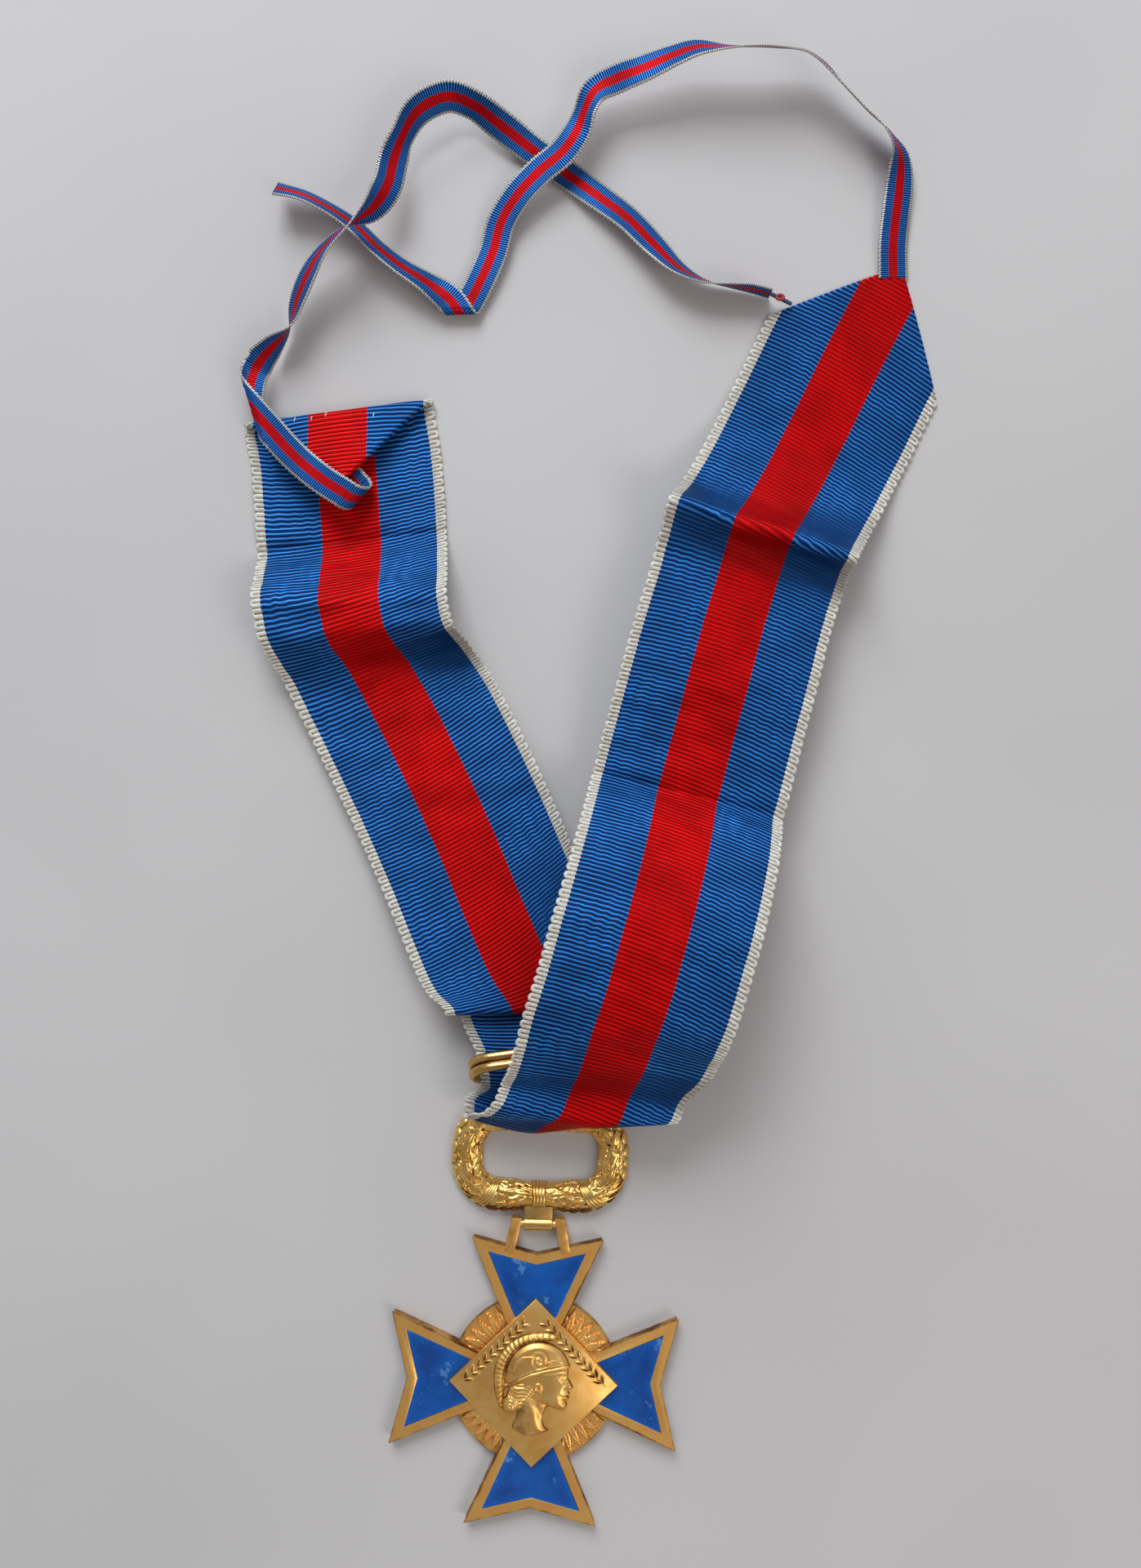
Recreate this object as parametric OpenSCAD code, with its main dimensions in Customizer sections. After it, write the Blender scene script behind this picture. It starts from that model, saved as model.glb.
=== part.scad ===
// Order neck badge laid flat: an enamelled cross hinged to a leaf wreath, a long grooved ring, a striped
// ribbon folded through the ring and two narrow tie ribbons. Millimetres, floor at z = 0, badge axis on Y.

/* [Neck ribbon] */
// Width of the neck ribbon
ribbon_w = 40; // [36:0.5:41]
// Thickness of the ribbon cloth
ribbon_t = 1; // [0.8:0.05:1.1]
// Spread of the laid ribbon across the page
lay_w = 114; // [110:1:122]
// Length of the laid ribbon up the page
lay_h = 176; // [168:1:190]
// Highest rise of the ribbon over the floor, above its resting layer
lay_lift = 26; // [23:0.5:32]
// Gap between cloth layers, and between cloth and metal
cloth_gap = 0.3; // [0.2:0.05:0.4]

/* [Tie ribbons] */
// Width of a tie ribbon
tie_w = 6.1; // [5.4:0.1:6.4]
// Thickness of a tie ribbon
tie_t = 1; // [0.6:0.05:1.1]

/* [Cross] */
// Distance from the centre to the tip corners of an arm, along the arm
arm_reach = 29.5; // [29:0.1:29.8]
// Width of an arm across its two tip corners
arm_span = 26.8; // [24:0.1:29]
// Width that the sides of an arm would have at the centre
arm_waist = 1.1; // [0.6:0.1:2.4]
// Depth of the notch in the end of an arm
notch_depth = 3.4; // [2:0.1:4.4]
// Width of the metal border round the enamel
border_w = 1.9; // [1.4:0.1:2.4]
// Thickness of the cross plate
plate_t = 2.4; // [2.2:0.1:2.8]
// Radius of the disc of leaves behind the plaque
disc_r = 17.5; // [16.4:0.1:19]
// Thickness of the disc under its leaves
disc_t = 1.3; // [0.8:0.1:1.6]

/* [Enamel] */
// Depth of the enamel recess
enamel_depth = 0.7; // [0.4:0.05:1]
// How far the enamel lies under the border
enamel_drop = 0.15; // [0.05:0.05:0.25]
// Gap round the enamel and under it
enamel_gap = 0.05; // [0.03:0.01:0.1]

/* [Centre plaque] */
// Half of the plaque's diagonal
plaque_half = 17.5; // [15.5:0.1:18.5]
// Thickness of the plaque
plaque_t = 0.9; // [0.7:0.1:1.4]
// Gap between the plaque and the cross
plaque_gap = 0.1; // [0.05:0.01:0.2]
// Height of the helmeted head over the plaque
relief_h = 1.6; // [1.2:0.1:2.2]
// Height of the head from its crest to the cut of its neck
head_size = 22; // [18:0.5:23]

/* [Bail and hinge] */
// Distance from the centre of the cross to the hinge axis
hinge_y = 32.5; // [32.4:0.05:32.8]
// Radius of the hinge pin
pin_r = 0.8; // [0.6:0.05:0.9]
// Running clearance of the pin in its sleeve, on the radius
pin_gap = 0.05; // [0.03:0.01:0.09]
// Outer radius of the hinge sleeve
sleeve_r = 1.45; // [1.35:0.05:1.5]
// Length of the hinge sleeve
sleeve_l = 6; // [5:0.1:6.2]
// Gap at each end of the sleeve
sleeve_end_gap = 0.4; // [0.3:0.05:0.6]
// Width of a bail post
post_w = 2.1; // [1.6:0.1:2.3]
// Half the width of the bail where it stands on the arm
bail_foot = 6.9; // [6.4:0.1:7.6]
// Thickness of the bail
bail_t = 2; // [1.8:0.1:2.2]

/* [Wreath] */
// Width of the wreath
wreath_w = 36.6; // [34:0.2:40]
// Height of the wreath up the page
wreath_h = 23; // [22:0.2:23.6]
// Width of its band at the sides
band_w = 6.3; // [5.4:0.1:6.6]
// Thickness of the wreath's band under its leaves
band_t = 2.2; // [1.6:0.1:2.6]
// Height of the leaves over the band
leaf_h = 1.2; // [0.8:0.1:1.4]
// Length of a leaf of the wreath
leaf_l = 5.2; // [4.4:0.1:6]
// Width of a leaf of the wreath
leaf_w = 2.5; // [2:0.1:3]
// Radius of the wreath's corners on its centre line
corner_r = 7; // [6:0.1:7.2]
// Distance from the hinge axis to the lower edge of the wreath
wreath_rise = 2.4; // [2.3:0.05:2.8]
// Width of the tab between sleeve and wreath
tab_w = 5.8; // [4.6:0.1:6]
// Width of the knot band at the bottom of the wreath
knot_w = 3.4; // [2.6:0.1:4.4]

/* [Ring and loop] */
// Outer length of the suspension ring
ring_l = 44; // [43.8:0.1:46]
// Outer height of the ring
ring_h = 11; // [10.6:0.1:12]
// Width of the ring's band of two ribs
ring_band = 4.2; // [3.6:0.1:4.3]
// Thickness of the ring's band
ring_t = 1.2; // [0.9:0.05:1.3]
// How far the ring leans back up the page, in degrees
ring_lean = 28; // [24:1:30]
// How far the ring is turned in the page, in degrees
ring_turn = 8; // [6:0.5:9]
// Thickness across of the hanging loop's wire
loop_wire = 0.9; // [0.8:0.05:0.95]
// Width of the hanging loop along the badge's cross axis
loop_w = 2; // [1.6:0.1:2.6]
// Running gap of the ring in the hanging loop
loop_gap = 0.12; // [0.08:0.01:0.2]

/* [Hidden] */
$fn = 64;

gilt = "goldenrod";
ribbon_blue = "royalblue";
enamel_blue = "mediumblue";

// heights of the hinge and of the metal under the ribbon
hinge_z = sleeve_r + 0.05;
wreath_y0 = hinge_y + wreath_rise;
wreath_mid = wreath_y0 + wreath_h / 2;
wreath_top = wreath_y0 + wreath_h;

// the ring leans, so a wire of it takes this height, and the loop's hole is as high with a gap on each side
ring_wire_z = ring_band * sin(ring_lean) + ring_t * cos(ring_lean);
ring_wire_y = ring_band * cos(ring_lean) + ring_t * sin(ring_lean);
ring_arm = (ring_h - ring_t) / 2;
loop_hole = ring_wire_z + 2 * loop_gap;
loop_h = loop_hole + 2 * loop_wire;
ring_z = loop_wire + loop_gap + ring_wire_z / 2 + ring_arm * cos(ring_lean);
ring_x = 0.06 * lay_w;
ring_y = wreath_top + 10.5;
loop_ring_y = ring_y - ring_x * tan(ring_turn) - ring_arm * sin(ring_lean);
loop_end = loop_ring_y + ring_wire_y / 2 + 0.5 + loop_wire;

// levels that the ribbon follows: its own layers, the deck over the loop, and its free rise
fold_y = wreath_top - 2.9;
layer_h = ribbon_t + cloth_gap;
deck_h = loop_h + cloth_gap;

// Route of the neck ribbon from the point of its folded flap, down the left leg, through the ring, round the
// bottom fold and up the right leg to its point. x is a share of lay_w, y of lay_h above fold_y, lift of
// lay_lift; layer counts cloth layers, deck is 1 where it lies over the loop; turn and roll are the degrees
// of the cross line in the page and out of it; wide is a share of ribbon_w.
ribbon_rows = [
    // x, y, lift, layer, deck, turn, roll, wide
    [-0.383, 0.745, 0.07, 2, 0, 7, 0, 0.08],
    [-0.394, 0.770, 0.04, 2, 0, 7, 0, 0.34],
    [-0.400, 0.797, 0.01, 2, 0, 8, 0, 0.65],
    [-0.406, 0.820, 0, 2, 0, 8, 0, 0.97],
    [-0.406, 0.827, 0, 1, 0, 8, 0, 1],
    [-0.407, 0.820, 0, 0, 0, 8, 0, 1],
    [-0.396, 0.779, 0, 0, 0, 5, 0, 1],
    [-0.385, 0.724, 0.01, 0, 0, 6, 0, 1],
    [-0.376, 0.674, 0.01, 0, 0, 8, 0, 1],
    [-0.370, 0.633, 0.21, 0, 0, 6, 0, 1],
    [-0.359, 0.593, 0.41, 0, 0, 4, 1, 1],
    [-0.348, 0.567, 0.40, 0, 0, 6, 1, 1],
    [-0.306, 0.522, 0.13, 0, 0, 12, 0, 1],
    [-0.260, 0.473, 0.10, 0, 0, 20, 0, 1],
    [-0.197, 0.399, 0.12, 0, 0, 23, 1, 1],
    [-0.140, 0.321, 0.14, 0, 0, 24, 3, 1],
    [-0.087, 0.239, 0.22, 0, 0, 24, 5, 1],
    [-0.041, 0.174, 0, 1.5, 1, 14, 4, 1],
    [-0.002, 0.132, 0, 2, 1, 3, 0, 1],
    [0.000, 0.128, 0, 1.5, 1, 3, 0, 1],
    [0.001, 0.132, 0, 1, 1, 3, 0, 1],
    [0.011, 0.150, 0, 1, 1, -2, 0, 1],
    [0.011, 0.154, 0, 0.5, 1, -2, 0, 1],
    [0.012, 0.150, 0, 0, 1, -2, 0, 1],
    [0.025, 0.123, 0, 0, 1, 3, 0, 1],
    [0.058, 0.078, 0, 0, 1, 6, 0, 1],
    [0.060, 0.068, 0, 0, 1, 7, 0, 1],
    [0.066, 0.045, 0, 0, 1, 5, 0, 1],
    [0.058, 0.023, 0, 0, 1, 2, 0, 1],
    [0.058, 0.011, 0, 0, 1, 0, 0, 1],
    [0.061, -0.002, 0.12, 0, 1, 0, 0, 1],
    [0.079, 0.015, 0.22, 0, 1, 0, 0, 1],
    [0.098, 0.041, 0.28, 0, 1, 0, 0, 1],
    [0.112, 0.069, 0.65, 0, 0, -2, -1, 1],
    [0.122, 0.094, 0.77, 0, 0, -4, -1, 1],
    [0.134, 0.123, 0.88, 0, 0, -9, -1, 1],
    [0.155, 0.159, 0.95, 0, 0, -11, 0, 1],
    [0.184, 0.232, 0.97, 0, 0, -10, 1, 1],
    [0.198, 0.266, 0.90, 0, 0, -10, 3, 1],
    [0.225, 0.339, 0.62, 0, 0, -10, 4, 1],
    [0.233, 0.364, 0.44, 0, 0, -11, 5, 1],
    [0.244, 0.386, 0.29, 0, 0, -12, 4, 1],
    [0.271, 0.464, 0.31, 0, 0, -8, 1, 1],
    [0.294, 0.525, 0.35, 0, 0, -6, -1, 1],
    [0.318, 0.583, 0.33, 0, 0, -5, -3, 1],
    [0.349, 0.642, 0.27, 0, 0, -8, -4, 1],
    [0.353, 0.671, 0.35, 0, 0, -12, -4, 1],
    [0.355, 0.688, 0.46, 0, 0, -16, -1, 1],
    [0.411, 0.751, 0.21, 0, 0, -16, 0, 1],
    [0.443, 0.790, 0.05, 0, 0, -18, 0, 1],
    [0.478, 0.838, 0.01, 0, 0, -21, 0, 1],
    [0.525, 0.909, 0, 0, 0, -23, 0, 0.97],
    [0.558, 0.951, 0, 0, 0, -22, 0, 0.60],
    [0.597, 1.000, 0, 0, 0, -15, 0, 0.15],
];

// Routes of the two tie ribbons as laid: x, y and z in millimetres, and the lean of the ribbon's left side
// upwards in degrees.
tie_left_points = [
    [-41.4, 183.6, 6.6, 0], [-44.5, 183.4, 6.8, 0], [-48.7, 185.0, 6.6, 0], [-54.7, 190.0, 5.8, 0],
    [-59.9, 195.4, 5.2, 0], [-64.4, 201.4, 4.6, 15], [-66.8, 205.6, 4.2, 60], [-66.4, 208.8, 4.0, 60],
    [-63.6, 210.6, 4.0, 48], [-59.8, 213.1, 4.0, 60], [-56.3, 216.9, 4.6, 111], [-54.9, 221.6, 5.4, 135],
    [-52.8, 226.3, 6.6, 142], [-49.1, 231.4, 8.6, 130], [-44.1, 235.7, 9.8, 113], [-39.4, 239.8, 9.0, 60],
    [-36.7, 245.1, 7.6, 20], [-35.7, 250.6, 6.8, 25], [-34.1, 255.6, 6.8, 55], [-31.6, 260.2, 6.8, 45],
    [-28.0, 263.0, 6.6, 38], [-24.3, 264.3, 6.0, 38], [-19.8, 263.2, 5.0, 45], [-14.8, 260.4, 3.4, 25],
    [-8.0, 256.3, 1.4, 4], [-1.1, 252.0, 0.6, 0], [5.9, 247.0, 1.4, -10], [12.8, 241.7, 2.4, -18],
    [18.0, 236.5, 3.0, -25], [23.2, 231.6, 3.6, -45], [28.3, 229.1, 3.8, -60], [34.2, 228.3, 4.0, -69],
    [40.1, 227.8, 4.0, -69], [46.6, 226.6, 4.0, -69],
];
tie_right_points = [
    [68.4, 231.9, 0.6, 0], [68.1, 238.6, 0.9, 5], [68.5, 245.4, 1.4, 8], [68.8, 250.9, 2.2, 14],
    [68.4, 256.0, 3.6, 38], [65.9, 259.9, 5.0, 60], [60.5, 264.4, 6.0, 63], [55.2, 269.0, 7.0, 62],
    [50.4, 273.3, 7.6, 58], [47.3, 274.7, 8.0, 58], [43.2, 274.9, 8.4, 61], [37.2, 274.7, 9.0, 62],
    [31.4, 274.4, 9.0, 55], [25.6, 274.2, 8.8, 34], [20.8, 272.8, 8.2, 24], [15.1, 270.6, 7.4, 10],
    [9.4, 268.6, 6.6, 0], [4.9, 266.1, 6.2, 15], [3.0, 262.2, 5.8, 35], [1.6, 258.5, 5.2, 15],
    [-1.1, 254.6, 4.6, 5], [-6.1, 250.3, 4.0, 5], [-10.5, 245.6, 3.2, 5], [-13.5, 240.9, 2.2, 5],
    [-15.9, 234.9, 1.6, 5], [-18.0, 228.2, 2.0, 20], [-20.2, 222.6, 3.2, 62], [-23.6, 222.4, 3.8, 60],
    [-28.8, 225.7, 3.6, 45], [-34.0, 229.8, 3.4, 43], [-39.3, 234.2, 3.2, 48], [-44.3, 238.7, 3.2, 50],
    [-49.6, 241.9, 3.6, 52], [-54.9, 244.1, 4.2, 50], [-60.2, 245.0, 4.8, 45],
];

// Outline of the head on the plaque, looking right, as shares of head_size from the plaque's centre.
head_face = [[-0.16, 0.10], [0.28, 0.16], [0.31, 0.08], [0.365, -0.03], [0.315, -0.05], [0.33, -0.085],
             [0.31, -0.105], [0.32, -0.135], [0.295, -0.155], [0.305, -0.20], [0.26, -0.235], [0.13, -0.25],
             [-0.12, -0.16]];
head_neck = [[-0.17, -0.08], [0.14, -0.20], [0.09, -0.28], [0.10, -0.38], [0.14, -0.43], [-0.04, -0.49],
             [-0.19, -0.40], [-0.14, -0.28]];
head_crest = [[-0.30, -0.20], [-0.36, 0.02], [-0.33, 0.20], [-0.20, 0.36], [0.0, 0.43], [0.18, 0.40],
              [0.10, 0.33], [-0.06, 0.32], [-0.19, 0.20], [-0.22, 0.02], [-0.20, -0.12]];

// vector helpers
function unit(v) = v / norm(v);
function flat3(row) = [row[0], row[1], row[2]];

// slope of a row that stands between its two neighbours at uneven distances, held flat at a high or low row and
// gentle beside a level stretch, so that no cut overshoots the rows
function slope(rows, i) =
    i == 0 ? (rows[1] - rows[0]) / norm(flat3(rows[1] - rows[0]))
    : i == len(rows) - 1 ? (rows[i] - rows[i - 1]) / norm(flat3(rows[i] - rows[i - 1]))
    : let (before = norm(flat3(rows[i] - rows[i - 1])), after = norm(flat3(rows[i + 1] - rows[i])),
           a = (rows[i] - rows[i - 1]) / before, b = (rows[i + 1] - rows[i]) / after,
           middle = (b * before + a * after) / (before + after))
      [for (k = [0 : len(middle) - 1])
          a[k] * b[k] <= 0 ? 0 : sign(middle[k]) * min(abs(middle[k]), 3 * min(abs(a[k]), abs(b[k])))];

// smooth run through all rows, with one cut for about every step millimetres
function smooth(rows, step) = concat(
    [for (i = [0 : len(rows) - 2])
        let (gap = norm(flat3(rows[i + 1] - rows[i])), cuts = max(1, round(gap / step)))
        for (k = [0 : cuts - 1])
            let (t = k / cuts, a = 2 * t * t * t - 3 * t * t + 1, b = t * t * t - 2 * t * t + t,
                 c = 3 * t * t - 2 * t * t * t, d = t * t * t - t * t)
            a * rows[i] + b * gap * slope(rows, i) + c * rows[i + 1] + d * gap * slope(rows, i + 1)],
    [rows[len(rows) - 1]]);

// direction of travel at each cut
function heading(cuts, i) =
    unit(flat3(cuts[min(i + 1, len(cuts) - 1)]) - flat3(cuts[max(i - 1, 0)]));

// closed solid through rings that all have the same number of points
module skin(rings) {
    sides = len(rings[0]);
    last = len(rings) - 1;
    faces = concat(
        [[for (k = [0 : sides - 1]) k]],
        [for (i = [0 : last - 1], k = [0 : sides - 1]) each [
            [i * sides + k, (i + 1) * sides + k, i * sides + (k + 1) % sides],
            [i * sides + (k + 1) % sides, (i + 1) * sides + k, (i + 1) * sides + (k + 1) % sides]]],
        [[for (k = [sides - 1 : -1 : 0]) last * sides + k]]);
    polyhedron([for (ring = rings) each ring], faces, convexity = 12);
}

// one row of the ribbon's table in millimetres and degrees
function laid(row) = [
    row[0] * lay_w,
    fold_y + row[1] * lay_h,
    ribbon_t / 2 + row[2] * lay_lift + row[3] * layer_h + row[4] * deck_h,
    row[5], row[6], row[7]];

module neck_ribbon() {
    cuts = smooth([for (row = ribbon_rows) laid(row)], 3.4);
    color(ribbon_blue)
    skin([for (i = [0 : len(cuts) - 1])
        let (c = cuts[i], mid = flat3(c),
             across = [cos(c[3]) * cos(c[4]), sin(c[3]) * cos(c[4]), sin(c[4])],
             up = unit(cross(heading(cuts, i), across)),
             half_w = across * ribbon_w * c[5] / 2, half_t = up * ribbon_t / 2)
        [mid - half_w + half_t, mid + half_w + half_t, mid + half_w - half_t, mid - half_w - half_t]]);
}

// tie ribbon: a flat section of eight sides swept along its route, leaning as it goes
module tie(points) {
    cuts = smooth(points, 3.2);
    color(ribbon_blue)
    skin([for (i = [0 : len(cuts) - 1])
        let (c = cuts[i], along = heading(cuts, i), left = unit([-along[1], along[0], 0]),
             rise = unit(cross(along, left)), across = cos(c[3]) * left + sin(c[3]) * rise,
             up = cross(along, across))
        [for (k = [0 : 7])
            let (around = -k * 45 - 22.5)
            flat3(c) + across * tie_w / 2 * cos(around) / cos(22.5) + up * tie_t / 2 * sin(around) / sin(67.5)]]);
}

module tie_left() {
    tie(tie_left_points);
}

module tie_right() {
    tie(tie_right_points);
}

// half of the ring's section: a flat back with two round ribs on its outer side
module ring_section() {
    rib = ring_band / 4;
    translate([-ring_t, -ring_band / 2]) square([ring_t * 0.6, ring_band]);
    for (side = [-1, 1])
        translate([-ring_t * 0.5, side * rib]) intersection() {
            circle(rib);
            translate([-ring_t * 0.5, -rib]) square([ring_t, 2 * rib]);
        }
}

// long ring that stands on edge, its length on X and its band across Y
module suspension_ring() {
    end_r = ring_h / 2;
    straight = ring_l - ring_h;
    color(gilt)
    translate([ring_x, ring_y, ring_z]) rotate([0, 0, ring_turn]) rotate([-ring_lean, 0, 0]) rotate([90, 0, 0]) {
        for (side = [0, 180])
            rotate([0, 0, side]) {
                translate([straight / 2, 0, 0]) rotate([0, 0, -90])
                    rotate_extrude(angle = 180) translate([end_r, 0]) ring_section();
                translate([-straight / 2, 0, 0]) rotate([0, 90, 0]) rotate([0, 0, 90])
                    linear_extrude(straight) translate([end_r, 0]) ring_section();
            }
    }
}

// pointed leaf lying flat along X, from its stem at the origin
module leaf(length, width, height) {
    r = (length * length + width * width) / (4 * width);
    linear_extrude(height) translate([length / 2, 0]) intersection() {
        translate([0, r - width / 2]) circle(r);
        translate([0, width / 2 - r]) circle(r);
    }
}

module rounded_box(size_x, size_y, r) {
    square([size_x - 2 * r, size_y], center = true);
    square([size_x, size_y - 2 * r], center = true);
    for (sx = [-1, 1], sy = [-1, 1])
        translate([sx * (size_x / 2 - r), sy * (size_y / 2 - r)]) circle(r);
}

// place and heading on one half of the wreath's centre line, at a share from the knot up to the top
function branch(share) =
    let (half_x = (wreath_w - band_w) / 2, half_y = (wreath_h - band_w) / 2, flat_x = half_x - corner_r,
         flat_y = 2 * (half_y - corner_r), arc = corner_r * PI / 2,
         s = share * (2 * flat_x + 2 * arc + flat_y))
    s < flat_x ? [s, -half_y, 0]
    : s < flat_x + arc ? let (a = (s - flat_x) / corner_r * 180 / PI)
        [flat_x + corner_r * sin(a), -half_y + corner_r * (1 - cos(a)), a]
    : s < flat_x + arc + flat_y ? [half_x, -half_y + corner_r + s - flat_x - arc, 90]
    : s < flat_x + 2 * arc + flat_y ? let (a = (s - flat_x - arc - flat_y) / corner_r * 180 / PI)
        [half_x - corner_r * (1 - cos(a)), half_y - corner_r + corner_r * sin(a), 90 + a]
    : [flat_x - (s - flat_x - 2 * arc - flat_y), half_y, 180];

module wreath_band() {
    linear_extrude(band_t) difference() {
        rounded_box(wreath_w, wreath_h, corner_r + band_w / 2);
        rounded_box(wreath_w - 2 * band_w, wreath_h - 2 * band_w, corner_r - band_w / 2);
    }
}

module wreath_leaves() {
    rows = 9;
    for (side = [0, 1], row = [0 : rows - 1], lane = [-1, 1]) {
        spot = branch(0.08 + 0.84 * row / rows);
        mirror([side, 0, 0])
            translate([spot[0], spot[1], band_t - 0.6]) rotate([0, 0, spot[2]])
                translate([0, lane * band_w * 0.24, 0]) rotate([0, -8, lane * 14])
                    leaf(leaf_l, leaf_w, leaf_h + 0.2);
    }
}

module hanging_loop() {
    length = loop_end - wreath_top + 1.5;
    translate([-loop_w / 2, wreath_top - 1.5, loop_h / 2]) rotate([90, 0, 90]) linear_extrude(loop_w)
        difference() {
            union() {
                translate([0, -loop_h / 2]) square([length - loop_h / 2, loop_h]);
                translate([length - loop_h / 2, 0]) circle(loop_h / 2);
            }
            translate([2.4, -loop_hole / 2]) square([length - 2.4 - loop_h / 2, loop_hole]);
            translate([length - loop_h / 2, 0]) circle(loop_hole / 2);
        }
}

module hinge_sleeve() {
    translate([0, hinge_y, hinge_z]) rotate([0, 90, 0])
        cylinder(r = sleeve_r, h = sleeve_l, center = true);
    translate([-tab_w / 2, hinge_y, hinge_z - 0.9]) cube([tab_w, wreath_rise + 1, 1.8]);
}

module wreath() {
    color(gilt)
    difference() {
        union() {
            translate([0, wreath_mid, 0]) {
                wreath_band();
                wreath_leaves();
                translate([-knot_w / 2, -wreath_h / 2, 0]) cube([knot_w, band_w, band_t + leaf_h]);
            }
            hanging_loop();
            hinge_sleeve();
        }
        translate([0, hinge_y, hinge_z]) rotate([0, 90, 0])
            cylinder(r = pin_r + pin_gap, h = sleeve_l + 2, center = true);
    }
}

// lines of an arm that points up: its side at a distance y, moved in by a border, and its notched end
arm_slope = (arm_span - arm_waist) / 2 / arm_reach;
end_slope = 2 * notch_depth / arm_span;
function arm_side(y, inset) = arm_waist / 2 + arm_slope * y - inset * sqrt(1 + arm_slope * arm_slope);
function arm_end(x, inset) = arm_reach - notch_depth + end_slope * x - inset * sqrt(1 + end_slope * end_slope);

// corner where the side line and the end line meet, both moved in by a border
function arm_corner(inset) =
    let (x0 = arm_side(0, inset), y0 = arm_end(0, inset), y = (y0 + end_slope * x0) / (1 - arm_slope * end_slope))
    [x0 + arm_slope * y, y];

// corner where the side line meets the edge of the plaque
function arm_root(inset, edge) =
    let (x = (arm_side(0, inset) + arm_slope * edge) / (1 + arm_slope))
    [x, edge - x];

module arm_outline() {
    tip = arm_corner(0);
    polygon([[-tip[0], tip[1]], [0, arm_end(0, 0)], tip, [arm_waist / 2, 0], [-arm_waist / 2, 0]]);
}

// enamel field of the arm that points up, with its inner end under the plaque's edge
module enamel_field(gap) {
    tip = arm_corner(border_w + gap);
    root = arm_root(border_w + gap, plaque_half + plaque_gap + gap);
    polygon([[-root[0], root[1]], [-tip[0], tip[1]], [0, arm_end(0, border_w + gap)], tip, root,
             [0, plaque_half + plaque_gap + gap]]);
}

module enamel(quarter) {
    color(enamel_blue)
    rotate([0, 0, -90 * quarter]) translate([0, 0, plate_t - enamel_depth + enamel_gap])
        linear_extrude(enamel_depth - enamel_gap - enamel_drop) enamel_field(enamel_gap);
}

module enamel_top() { enamel(0); }
module enamel_right() { enamel(1); }
module enamel_bottom() { enamel(2); }
module enamel_left() { enamel(3); }

// trapezoid bail: two posts that stand on the upper arm and a pin between them
module bail() {
    post_in = sleeve_l / 2 + sleeve_end_gap;
    foot_y = arm_end(bail_foot, 0) - 0.6;
    top_y = hinge_y + 1.35;
    for (side = [0, 1]) mirror([side, 0, 0])
        translate([0, 0, hinge_z - bail_t / 2]) linear_extrude(bail_t)
            polygon([[bail_foot - post_w, foot_y - 0.6], [bail_foot, foot_y], [post_in + post_w, top_y],
                     [post_in, top_y]]);
    translate([0, hinge_y, hinge_z]) rotate([0, 90, 0])
        cylinder(r = pin_r, h = 2 * post_in + post_w, center = true);
}

module disc_of_leaves() {
    cylinder(r = disc_r, h = disc_t, $fn = 96);
    for (quarter = [0 : 3], k = [-2 : 2])
        rotate([0, 0, 45 + quarter * 90 + k * 9])
            translate([disc_r * 0.55, 0, disc_t - 0.3]) leaf(disc_r * 0.44, 2.4, 0.9);
}

module cross() {
    color(gilt)
    difference() {
        union() {
            for (quarter = [0 : 3])
                rotate([0, 0, -90 * quarter]) linear_extrude(plate_t) arm_outline();
            disc_of_leaves();
            bail();
        }
        for (quarter = [0 : 3])
            rotate([0, 0, -90 * quarter]) translate([0, 0, plate_t - enamel_depth])
                linear_extrude(enamel_depth + 1) enamel_field(0);
    }
}

// raised head in profile with a plain crested helmet
module head_relief() {
    cap_r = 0.27 * head_size;
    cap_h = relief_h;
    ball_r = (cap_r * cap_r + cap_h * cap_h) / (2 * cap_h);
    linear_extrude(relief_h * 0.55) polygon(head_size * head_neck);
    linear_extrude(relief_h * 0.7) polygon(head_size * head_face);
    linear_extrude(relief_h * 0.45) polygon(head_size * head_crest);
    translate([0.02 * head_size, 0.12 * head_size, 0]) intersection() {
        translate([0, 0, cap_h - ball_r]) sphere(ball_r);
        translate([-cap_r, -0.1 * head_size, 0]) cube([2 * cap_r, 2 * cap_r, cap_h + 1]);
    }
}

module centre_plaque() {
    color(gilt)
    translate([0, 0, plate_t + plaque_gap]) {
        rotate([0, 0, 45]) translate([0, 0, plaque_t / 2])
            cube([plaque_half * sqrt(2), plaque_half * sqrt(2), plaque_t], center = true);
        translate([0, 0, plaque_t - 0.1]) head_relief();
    }
}

neck_ribbon();
tie_left();
tie_right();
suspension_ring();
wreath();
cross();
centre_plaque();
enamel_top();
enamel_right();
enamel_bottom();
enamel_left();
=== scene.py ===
"""Order neck badge laid on a pale table: a blue enamelled cross under a gilt leaf wreath, hung by a long grooved
ring from a striped neck ribbon with two narrow tie ribbons. Tables and shapes are worked out in millimetres."""

import math

import bmesh
import bpy
import numpy as np
from mathutils import Matrix, Vector


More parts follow.
